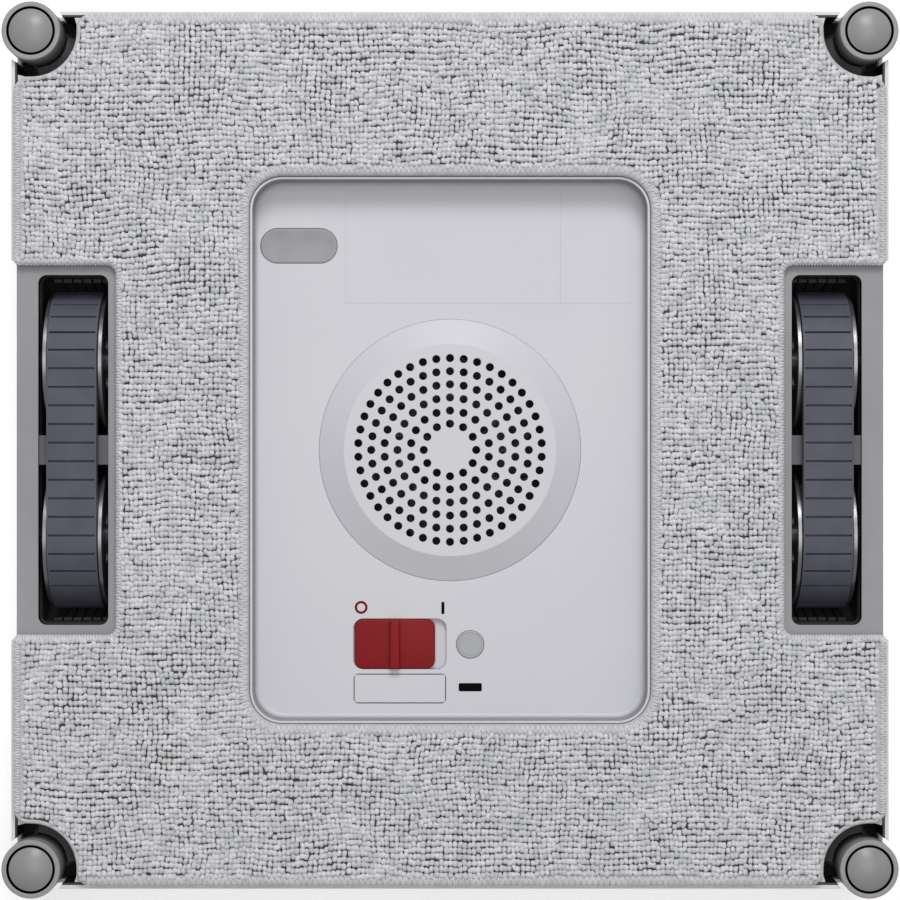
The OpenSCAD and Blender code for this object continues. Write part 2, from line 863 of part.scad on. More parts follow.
module axle_bushings() {
    color("goldenrod") for (s = [0, 1], y = [-1, 1])
        mirror([s, 0, 0]) translate([0, y * wheel_cc / 2, axle_z]) {
            side_slab(frame_x0, well_x0) ring(bush_r, axle_r + run_fit);
            side_slab(well_x0, well_x0 + bush_rim_t) ring(bush_rim_r, axle_r + run_fit);
            side_slab(well_x1, frame_x1) ring(bush_r, axle_r + run_fit);
            side_slab(well_x1 - bush_rim_t, well_x1) ring(bush_rim_r, axle_r + run_fit);
        }
}

// Bridge across the well that carries the belt's flat run
module belt_guide() {
    top = axle_z + belt_in_r - guide_rib_h - guide_gap;
    color("darkgray") translate([track_x, 0, 0]) {
        slab(top - guide_deep, body_t - well_lip_d) square([well_w, guide_len], center = true);
        slab(top - guide_deep, top)
            square([well_open_w - loose_fit, guide_len], center = true);
    }
}

module gear_shape(teeth, r, turn) {
    circle(r - gear_ded);
    for (i = [0 : teeth - 1]) rotate(turn + 360 * i / teeth)
        polygon([
            [0, -gear_tooth_w * gear_root_share / 2],
            [r - gear_ded, -gear_tooth_w * gear_root_share / 2],
            [r, -gear_tooth_w / 2],
            [r + gear_add, -gear_tooth_w * gear_tip_share / 2],
            [r + gear_add, gear_tooth_w * gear_tip_share / 2],
            [r, gear_tooth_w / 2],
            [r - gear_ded, gear_tooth_w * gear_root_share / 2],
            [0, gear_tooth_w * gear_root_share / 2]
        ]);
}

module drive_gear() {
    color("ivory") translate([0, -wheel_cc / 2, axle_z])
        side_slab(gear_x1 - gear_t, gear_x1) difference() {
            gear_shape(gear_teeth, gear_pitch_r, 0);
            circle(axle_r + run_fit / 2);
        }
}

module motor_pinion() {
    color("silver") translate([0, -wheel_cc / 2 - gear_cc, axle_z]) {
        side_slab(gear_x1 - gear_t, gear_x1)
            gear_shape(pinion_teeth, pinion_pitch_r, 180 / pinion_teeth);
        side_slab(motor_plate_x0 - motor_len / 2, gear_x1 - gear_t) circle(motor_shaft_r);
    }
}

module drive_motor() {
    mid_y = -wheel_cc / 2 - gear_cc;
    plate_y0 = mid_y - motor_plate_margin;
    plate_y1 = -wheel_cc / 2 + motor_post_in + 2 * motor_post_r;
    color("dimgray") difference() {
        union() {
            side_slab(motor_plate_x0, motor_plate_x1)
                translate([plate_y0, axle_z - motor_plate_h / 2])
                    square([plate_y1 - plate_y0, motor_plate_h]);
            for (z = [-1, 1], y = [-motor_post_out, motor_post_in])
                translate([0, y - wheel_cc / 2, axle_z + z * motor_post_rise])
                    side_slab(motor_plate_x1, frame_x0) circle(motor_post_r);
            translate([0, mid_y, axle_z]) {
                side_slab(motor_plate_x0 - motor_len, motor_plate_x0) circle(motor_r);
                side_slab(motor_plate_x0 - motor_len - motor_tail, motor_plate_x0) circle(motor_nose_r);
            }
        }
        translate([0, mid_y, axle_z])
            side_slab(motor_plate_x0 - motor_len / 2 - overrun, motor_plate_x1 + overrun)
                circle(motor_shaft_r + run_fit);
    }
}

// Pieces of one corner, drawn about the roller's axis
module at_roller() {
    translate([roller_c, roller_c, 0]) children();
}

module corner_roller() {
    seat = hub_top - hub_snap_h - loose_fit;
    color("darkgray") at_roller() {
        slab(roller_low, seat) ring(roller_r, hub_tube_r + run_fit);
        slab(seat, roller_top) ring(roller_r, roller_dish_r);
    }
}

module edge_sensor() {
    crown_r = (dome_r * dome_r + dome_crown * dome_crown) / (2 * dome_crown);
    color("gray") at_roller() {
        slab(dome_low, dome_rim_top) circle(dome_r);
        translate([0, 0, dome_rim_top]) rotate_extrude() intersection() {
            translate([0, dome_crown - crown_r]) circle(crown_r, $fn = 128);
            square([dome_r, dome_crown]);
        }
        slab(bracket_top + sensor_travel / 2, dome_low) circle(stem_r);
    }
}

// Points of one round of the spring's wire
function spring_round(i) =
    let (a = 360 * i / spring_steps,
         rise = dome_low - spring_seat - 2 * (spring_wire_r + run_fit),
         z = spring_seat + spring_wire_r + run_fit + rise * i / (spring_turns * spring_steps))
    [for (j = [0 : spring_sides - 1])
        let (b = 360 * j / spring_sides)
        [(spring_r + spring_wire_r * cos(b)) * cos(a),
         (spring_r + spring_wire_r * cos(b)) * sin(a),
         z + spring_wire_r * sin(b)]];

module sensor_spring() {
    rounds = spring_turns * spring_steps;
    points = [for (i = [0 : rounds]) each spring_round(i)];
    walls = [for (i = [0 : rounds - 1], j = [0 : spring_sides - 1])
        let (a = i * spring_sides + j,
             b = i * spring_sides + (j + 1) % spring_sides)
        each [[a, b, b + spring_sides], [a, b + spring_sides, a + spring_sides]]];
    low = [for (j = [1 : spring_sides - 2]) [0, j + 1, j]];
    last = rounds * spring_sides;
    high = [for (j = [1 : spring_sides - 2]) [last, last + j, last + j + 1]];
    color("silver") at_roller() polyhedron(points, concat(walls, low, high));
}

module skirt_outline(r) {
    polygon(concat(
        [for (a = skirt_turns) [r * cos(225 + a), r * sin(225 + a)]],
        [[r * skirt_back_share, -r * skirt_back_share], [-r * skirt_back_share, r * skirt_back_share]]
    ));
}

module corner_bracket() {
    inside = 2 * (shell_in - loose_fit);
    color("dimgray") difference() {
        union() {
            slab(bracket_low, bracket_top) intersection() {
                rounded_rect(inside, inside, body_corner_r - shell_wall);
                translate([roller_c, roller_c]) circle(bracket_r);
            }
            slab(bracket_top, plate_low) intersection() {
                rounded_rect(inside, inside, body_corner_r - shell_wall);
                translate([roller_c, roller_c]) ring(bracket_r, bracket_r - bracket_wall);
            }
            at_roller() {
                translate([0, 0, bracket_top])
                    linear_extrude(skirt_h, scale = skirt_top_share) skirt_outline(skirt_out_r);
                slab(bracket_top, roller_low - loose_fit) circle(hub_tube_r + hub_snap);
                slab(bracket_top, hub_top) circle(hub_tube_r);
                slab(hub_top - hub_snap_h, hub_top) circle(hub_tube_r + hub_snap);
            }
        }
        at_roller() {
            slab(spring_seat, hub_top + overrun) circle(hub_bore_r);
            slab(bracket_low - overrun, spring_seat + overrun) circle(stem_r + run_fit);
        }
    }
}

// Fan: seal, case with its outlet, motor, shaft and impeller
module fan_seal() {
    color("dimgray") slab(fan_case_top, recess_low)
        ring(fan_case_r, grille_seat_r - 2 * grille_wall);
}

module case_outline(wall) {
    circle(fan_case_r - wall);
    translate([0, duct_y / 2]) square([duct_w - 2 * wall, -duct_y - 2 * wall], center = true);
}

module fan_housing() {
    low = floor_t;
    color("silver") difference() {
        union() {
            slab(low, fan_case_top) circle(fan_case_r);
            slab(low, low + duct_h) case_outline(0);
        }
        slab(low + fan_case_floor, fan_case_top + overrun) circle(fan_case_r - fan_case_wall);
        slab(low + fan_case_floor, low + duct_h - fan_case_wall) case_outline(fan_case_wall);
        translate([0, exhaust_y, 0])
            slab(low - overrun, low + fan_case_floor + overrun)
                rounded_rect(exhaust_w - 2 * exhaust_rim, exhaust_h - 2 * exhaust_rim, exhaust_rim);
    }
}

module fan_motor() {
    low = floor_t + fan_case_floor;
    color("dimgray") difference() {
        union() {
            slab(low, low + fan_motor_h) circle(fan_motor_r);
            slab(low, low + fan_motor_h + fan_motor_neck_h) circle(fan_motor_neck_r);
        }
        slab(low + fan_case_floor, low + fan_motor_h + fan_motor_neck_h + overrun)
            circle(fan_shaft_r + run_fit);
    }
}

module fan_shaft() {
    color("silver") slab(floor_t + 2 * fan_case_floor + run_fit, impeller_top) circle(fan_shaft_r);
}

module impeller_blade() {
    intersection() {
        ring(impeller_r - impeller_blade_t, impeller_hub_r - impeller_blade_t);
        translate(impeller_arc_r * impeller_arc_shares)
            ring(impeller_arc_r + impeller_blade_t / 2, impeller_arc_r - impeller_blade_t / 2);
        translate([-impeller_r * impeller_back_share, -impeller_r]) square([2 * impeller_r, impeller_r]);
    }
}

module impeller() {
    color("gray") difference() {
        union() {
            slab(impeller_z, impeller_z + impeller_plate_t) circle(impeller_r);
            slab(impeller_z, impeller_top) circle(impeller_hub_r);
            slab(impeller_z, impeller_top)
                for (i = [0 : impeller_blades - 1]) rotate(360 * i / impeller_blades) impeller_blade();
        }
        slab(impeller_z - overrun, impeller_top + overrun) circle(fan_shaft_r + run_fit / 2);
    }
}

module exhaust_grille() {
    pitch = (exhaust_h - 2 * exhaust_rim) / exhaust_slots;
    color("gray") translate([0, exhaust_y, 0]) slab(0, floor_t) difference() {
        rounded_rect(exhaust_w, exhaust_h, exhaust_rim);
        for (i = [0 : exhaust_slots - 1])
            translate([0, (i - (exhaust_slots - 1) / 2) * pitch])
                square([exhaust_w - 4 * exhaust_rim, exhaust_slot_w], center = true);
    }
}

// Battery cells lie in a shallow cradle
module battery_pack() {
    color("steelblue") translate([0, battery_y, floor_t]) {
        slab(0, cell_r)
            square([2 * cell_len + 4 * cell_wall, battery_h], center = true);
        for (row = [0 : cell_rows - 1], s = [-1, 1])
            translate([s * (cell_len + cell_wall) / 2, (2 * row + 1 - cell_rows) * cell_pitch / 2,
                cell_r + cell_wall])
                rotate([0, 90, 0]) cylinder(cell_len, cell_r, cell_r, center = true);
    }
}

module main_board() {
    color("seagreen") translate([0, board_y, 0]) {
        slab(board_z, board_z + board_t) square([board_w, board_h], center = true);
        slab(board_z + board_t, board_z + board_t + chip_t)
            for (x = chip_steps) translate([x * chip_w, 0]) square(chip_w, center = true);
    }
}

// Power switch: red slider over a tray, with the switch and its board below
module power_switch_slider() {
    low = slider_top - slider_t;
    color("firebrick") translate([slider_x, slot_y, 0]) {
        slab(low, slider_top) rounded_rect(slider_w, slider_h, slider_r);
        slab(low, slider_top + slider_ridge_h) square([slider_ridge_w, slider_h], center = true);
        slab(low - stem_deep, low) square([stem_w, stem_d], center = true);
    }
}

module power_switch_body() {
    low = slider_top - slider_t - stem_deep - loose_fit;
    tray_w = slot_w + 2 * switch_rim;
    tray_h = slot_h + 2 * switch_rim;
    color("whitesmoke") difference() {
        translate([slot_x, slot_y, 0]) {
            slab(recess_low - switch_tray_t, recess_low) square([tray_w, tray_h], center = true);
            slab(switch_board_top, recess_low) square([tray_w / 2, tray_h / 2], center = true);
        }
        translate([slider_x + slider_travel / 2, slot_y, 0])
            slab(low, recess_low + overrun)
                square([stem_w + slider_travel + 2 * loose_fit, stem_d + 2 * loose_fit], center = true);
    }
    color("seagreen") translate([switch_board_x, slot_y, 0])
        slab(switch_board_top - switch_board_t, switch_board_top)
            square([switch_board_w, switch_board_h], center = true);
}

module reset_button() {
    rim_top = recess_low - run_fit;
    color("gray") translate([reset_x, reset_y, 0]) {
        slab(rim_top - reset_rim_t, recess_z + slider_proud) circle(reset_r);
        slab(rim_top - reset_rim_t, rim_top) circle(reset_r + reset_rim);
        slab(reset_tact_top - tact_engage, rim_top - reset_rim_t) circle(tact_stem_r);
    }
}

module start_button() {
    top = start_sunk + start_cap_t;
    color("whitesmoke") translate([0, start_y, 0]) {
        slab(start_sunk, top) circle(start_r);
        slab(floor_t + run_fit, top) circle(start_r + start_rim);
        slab(top, start_tact_low + tact_engage) circle(tact_stem_r);
    }
}

module tact_switches() {
    color("dimgray") {
        translate([reset_x, reset_y, 0]) difference() {
            slab(switch_board_top, reset_tact_top) square(tact_w, center = true);
            slab(reset_tact_top - tact_engage - reset_travel - loose_fit, reset_tact_top + overrun)
                circle(tact_stem_r + run_fit);
        }
        translate([0, start_y, 0]) {
            difference() {
                slab(start_tact_low, start_board_z) square(tact_w, center = true);
                slab(start_tact_low - overrun, start_tact_low + tact_engage + start_travel + loose_fit)
                    circle(tact_stem_r + run_fit);
            }
            slab(start_board_z, start_board_z + start_board_t)
                square([start_board_w, start_board_h], center = true);
        }
    }
}

module port_cover() {
    color("gray") translate([port_x, port_y, 0]) difference() {
        slab(recess_z - port_deep, recess_z) rounded_rect(port_w, port_h, port_h / 2 - loose_fit);
        slab(recess_z - port_dish, recess_z + overrun)
            rounded_rect(port_w - 2 * port_rim, port_h - 2 * port_rim,
                port_h / 2 - port_rim - loose_fit);
    }
}

module service_port() {
    wall = recess_wall / 2;
    color("dimgray") translate([port_x, port_y, 0]) difference() {
        slab(recess_z - port_socket_deep - wall, recess_low)
            rounded_rect(port_w + 2 * recess_wall, port_h + 2 * recess_wall, port_h / 2);
        slab(recess_z - port_deep - loose_fit, recess_low + overrun)
            rounded_rect(port_w + loose_fit, port_h + loose_fit, port_h / 2);
        slab(recess_z - port_socket_deep, recess_low)
            square([port_socket_w, port_socket_h], center = true);
    }
}

module status_window() {
    color("black") translate([window_bar_x, window_bar_y, 0])
        slab(recess_low, recess_z) rounded_rect(window_bar_w, window_bar_h, window_bar_r);
}

module cord_gland() {
    color("dimgray") translate([gland_x, gland_y, 0]) difference() {
        union() {
            slab(gland_sunk, gland_sunk + gland_len) circle(gland_r);
            slab(floor_t, floor_t + gland_rim_t) circle(gland_rim_r);
        }
        slab(gland_sunk - overrun, gland_sunk + gland_len + overrun) circle(cord_bore_r);
    }
}

module rope_anchor() {
    color("silver") translate([0, rope_y, rope_bar_z])
        side_slab(-rope_w / 2 - rope_seat, rope_w / 2 + rope_seat) circle(rope_bar_r);
}

back_cover();
base_plate();
fan_grille();
cleaning_pad();
hook_strips();
left_side() track_frame();  // track_frame_left
track_frame();  // track_frame_right
left_side() track_belt();  // track_belt_left
track_belt();  // track_belt_right
left_side() drive_wheel();  // drive_wheel_left
drive_wheel();  // drive_wheel_right
left_side() idler_wheel();  // idler_wheel_left
idler_wheel();  // idler_wheel_right
left_side() drive_axle();  // drive_axle_left
drive_axle();  // drive_axle_right
idler_axles();
axle_bushings();
left_side() drive_gear();  // drive_gear_left
drive_gear();  // drive_gear_right
left_side() motor_pinion();  // motor_pinion_left
motor_pinion();  // motor_pinion_right
left_side() drive_motor();  // drive_motor_left
drive_motor();  // drive_motor_right
left_side() belt_guide();  // belt_guide_left
belt_guide();  // belt_guide_right
corner_roller();  // corner_roller_top_right
corner(1) corner_roller();  // corner_roller_top_left
corner(2) corner_roller();  // corner_roller_bottom_left
corner(3) corner_roller();  // corner_roller_bottom_right
edge_sensor();  // edge_sensor_top_right
corner(1) edge_sensor();  // edge_sensor_top_left
corner(2) edge_sensor();  // edge_sensor_bottom_left
corner(3) edge_sensor();  // edge_sensor_bottom_right
sensor_spring();  // sensor_spring_top_right
corner(1) sensor_spring();  // sensor_spring_top_left
corner(2) sensor_spring();  // sensor_spring_bottom_left
corner(3) sensor_spring();  // sensor_spring_bottom_right
corner_bracket();  // corner_bracket_top_right
corner(1) corner_bracket();  // corner_bracket_top_left
corner(2) corner_bracket();  // corner_bracket_bottom_left
corner(3) corner_bracket();  // corner_bracket_bottom_right
impeller();
fan_shaft();
fan_motor();
fan_housing();
fan_seal();
exhaust_grille();
battery_pack();
main_board();
power_switch_slider();
power_switch_body();
reset_button();
start_button();
tact_switches();
port_cover();
service_port();
status_window();
cord_gland();
rope_anchor();
plate_screws();
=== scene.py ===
import math
import random

import bmesh
import bpy
from mathutils import Matrix, Vector, kdtree, noise
from mathutils.bvhtree import BVHTree


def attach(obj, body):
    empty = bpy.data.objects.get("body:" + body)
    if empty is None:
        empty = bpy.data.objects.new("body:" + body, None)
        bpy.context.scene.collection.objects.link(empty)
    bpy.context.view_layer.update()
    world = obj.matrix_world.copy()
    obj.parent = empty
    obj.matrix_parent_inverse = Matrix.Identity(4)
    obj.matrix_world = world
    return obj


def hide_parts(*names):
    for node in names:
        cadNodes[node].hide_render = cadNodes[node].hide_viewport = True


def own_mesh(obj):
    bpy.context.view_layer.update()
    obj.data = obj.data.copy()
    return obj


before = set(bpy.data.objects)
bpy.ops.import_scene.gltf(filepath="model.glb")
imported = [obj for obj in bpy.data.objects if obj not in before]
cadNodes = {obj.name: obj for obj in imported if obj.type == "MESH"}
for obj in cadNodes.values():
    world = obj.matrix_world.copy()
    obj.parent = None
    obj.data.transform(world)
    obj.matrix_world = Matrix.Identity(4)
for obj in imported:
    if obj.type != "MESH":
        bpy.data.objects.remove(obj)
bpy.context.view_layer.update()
mm = 0.001
cornerSigns = {
    "top_right": (1, 1),
    "top_left": (-1, 1),
    "bottom_left": (-1, -1),
    "bottom_right": (1, -1),
}
print("frame loaded")


def linear(value):
    share = value / 255
    return share / 12.92 if share <= 0.04045 else ((share + 0.055) / 1.055) ** 2.4


def tone(red, green, blue):
    return (linear(red), linear(green), linear(blue), 1.0)


def addNode(tree, kind, operation=None):
    node = tree.nodes.new("ShaderNode" + kind)
    if operation:
        node.operation = operation
    return node


# Tests a value against a limit and gives 1 or 0
def testValue(tree, operation, value, limit):
    test = addNode(tree, "Math", operation)
    tree.links.new(value, test.inputs[0])
    test.inputs[1].default_value = limit
    return test.outputs["Value"]


# Lays a shade over a colour where the share is 1; with under=True, where it is 0
def layShade(tree, share, colour, shade, under=False):
    mix = addNode(tree, "Mix")
    mix.data_type = "RGBA"
    mix.inputs["A" if under else "B"].default_value = shade
    tree.links.new(share, mix.inputs["Factor"])
    tree.links.new(colour, mix.inputs["B" if under else "A"])
    return mix.outputs["Result"]


# Share of a ring about the fan's axis, between two radii
def ringShare(tree, coords, low, high):
    flat = addNode(tree, "VectorMath", "MULTIPLY")
    flat.inputs[1].default_value = (1, 1, 0)
    tree.links.new(coords, flat.inputs[0])
    reach = addNode(tree, "VectorMath", "LENGTH")
    tree.links.new(flat.outputs["Vector"], reach.inputs[0])
    within = addNode(tree, "Math", "COMPARE")
    within.inputs[1].default_value = (low + high) / 2 * mm
    within.inputs[2].default_value = (high - low) / 2 * mm
    tree.links.new(reach.outputs["Value"], within.inputs[0])
    return within.outputs["Value"]


# Share that grows between two heights, or with how far a face looks up
def maskShare(tree, texture, kind, low, high):
    split = addNode(tree, "SeparateXYZ")
    tree.links.new(texture.outputs["Object" if kind == "height" else "Normal"], split.inputs[0])
    scale = mm if kind == "height" else 1
    share = addNode(tree, "MapRange")
    share.inputs["From Min"].default_value = low * scale
    share.inputs["From Max"].default_value = high * scale
    tree.links.new(split.outputs["Z"], share.inputs["Value"])
    return share.outputs["Result"]


# Share of the faces that lie nearer the middle than a reach, and above a height
def insideShare(tree, coords, reach, height):
    size = addNode(tree, "VectorMath", "ABSOLUTE")
    tree.links.new(coords, size.inputs[0])
    sides = addNode(tree, "SeparateXYZ")
    tree.links.new(size.outputs["Vector"], sides.inputs[0])
    longest = addNode(tree, "Math", "MAXIMUM")
    tree.links.new(sides.outputs["X"], longest.inputs[0])
    tree.links.new(sides.outputs["Y"], longest.inputs[1])
    near = testValue(tree, "LESS_THAN", longest.outputs["Value"], reach * mm)
    high = testValue(tree, "GREATER_THAN", sides.outputs["Z"], height * mm)
    both = addNode(tree, "Math", "MULTIPLY")
    tree.links.new(near, both.inputs[0])
    tree.links.new(high, both.inputs[1])
    return both.outputs["Value"]


# Finishes. Sizes of patches, grain, edges, bands and masks are in millimetres
def makeFinish(name, look):
    material = bpy.data.materials.new(name)
    material.use_nodes = True
    tree = material.node_tree
    shader = tree.nodes["Principled BSDF"]
    shader.inputs["Metallic"].default_value = look.get("metal", 0.0)
    shader.inputs["Specular IOR Level"].default_value = look.get("shine", 0.5)
    shader.inputs["Coat Weight"].default_value = look.get("coat", 0.0)
    shader.inputs["Coat Roughness"].default_value = 0.2
    shader.inputs["Sheen Weight"].default_value = look.get("sheen", 0.0)
    shader.inputs["Sheen Roughness"].default_value = 0.5
    texture = addNode(tree, "TexCoord")
    coords = texture.outputs["Object"]

    patches = addNode(tree, "TexNoise")  # slow change of colour
    patches.inputs["Scale"].default_value = 1 / (look["patch"] * mm)
    patches.inputs["Detail"].default_value = 3.0
    tree.links.new(coords, patches.inputs["Vector"])
    blend = addNode(tree, "Mix")
    blend.data_type = "RGBA"
    blend.inputs["A"].default_value = look["colour"]
    blend.inputs["B"].default_value = look["second"]
    spread = addNode(tree, "MapRange")  # the noise keeps near its middle
    spread.inputs["From Min"].default_value = 0.35
    spread.inputs["From Max"].default_value = 0.65
    tree.links.new(patches.outputs["Fac"], spread.inputs["Value"])
    tree.links.new(spread.outputs["Result"], blend.inputs["Factor"])

    grain = addNode(tree, "TexNoise")  # fine mould or fibre grain
    grain.inputs["Scale"].default_value = 1 / (look["grain"] * mm)
    grain.inputs["Detail"].default_value = look.get("grainDetail", 4.0)
    if look.get("stretch"):
        mapping = addNode(tree, "Mapping")
        mapping.inputs["Scale"].default_value = look["stretch"]
        tree.links.new(coords, mapping.inputs["Vector"])
        tree.links.new(mapping.outputs["Vector"], grain.inputs["Vector"])
    else:
        tree.links.new(coords, grain.inputs["Vector"])
    swing = look.get("roughSwing", 0.05)
    gloss = addNode(tree, "MapRange")
    gloss.inputs["To Min"].default_value = look["rough"] - swing
    gloss.inputs["To Max"].default_value = look["rough"] + swing
    tree.links.new(grain.outputs["Fac"], gloss.inputs["Value"])
    tree.links.new(gloss.outputs["Result"], shader.inputs["Roughness"])

    bump = addNode(tree, "Bump")
    bump.inputs["Strength"].default_value = 0.5
    bump.inputs["Distance"].default_value = look["grainDepth"] * mm
    tree.links.new(grain.outputs["Fac"], bump.inputs["Height"])
    if look.get("edge"):
        rounding = addNode(tree, "Bevel")  # softens moulded edges
        rounding.samples = 4
        rounding.inputs["Radius"].default_value = look["edge"] * mm
        tree.links.new(rounding.outputs["Normal"], bump.inputs["Normal"])
    tree.links.new(bump.outputs["Normal"], shader.inputs["Normal"])

    colour = blend.outputs["Result"]
    for low, high, shade in look.get("bands", ()):
        colour = layShade(tree, ringShare(tree, coords, low, high), colour, shade)
    for kind, low, high, shade in look.get("masks", ()):
        share = maskShare(tree, texture, kind, low, high)
        colour = layShade(tree, share, colour, shade, under=True)
    # Painted shade: a near-black colour laid over the inner walls of a shell
    if look.get("inside"):
        reach, height, shade = look["inside"]
        colour = layShade(tree, insideShare(tree, coords, reach, height), colour, shade)
    tree.links.new(colour, shader.inputs["Base Color"])
    return material
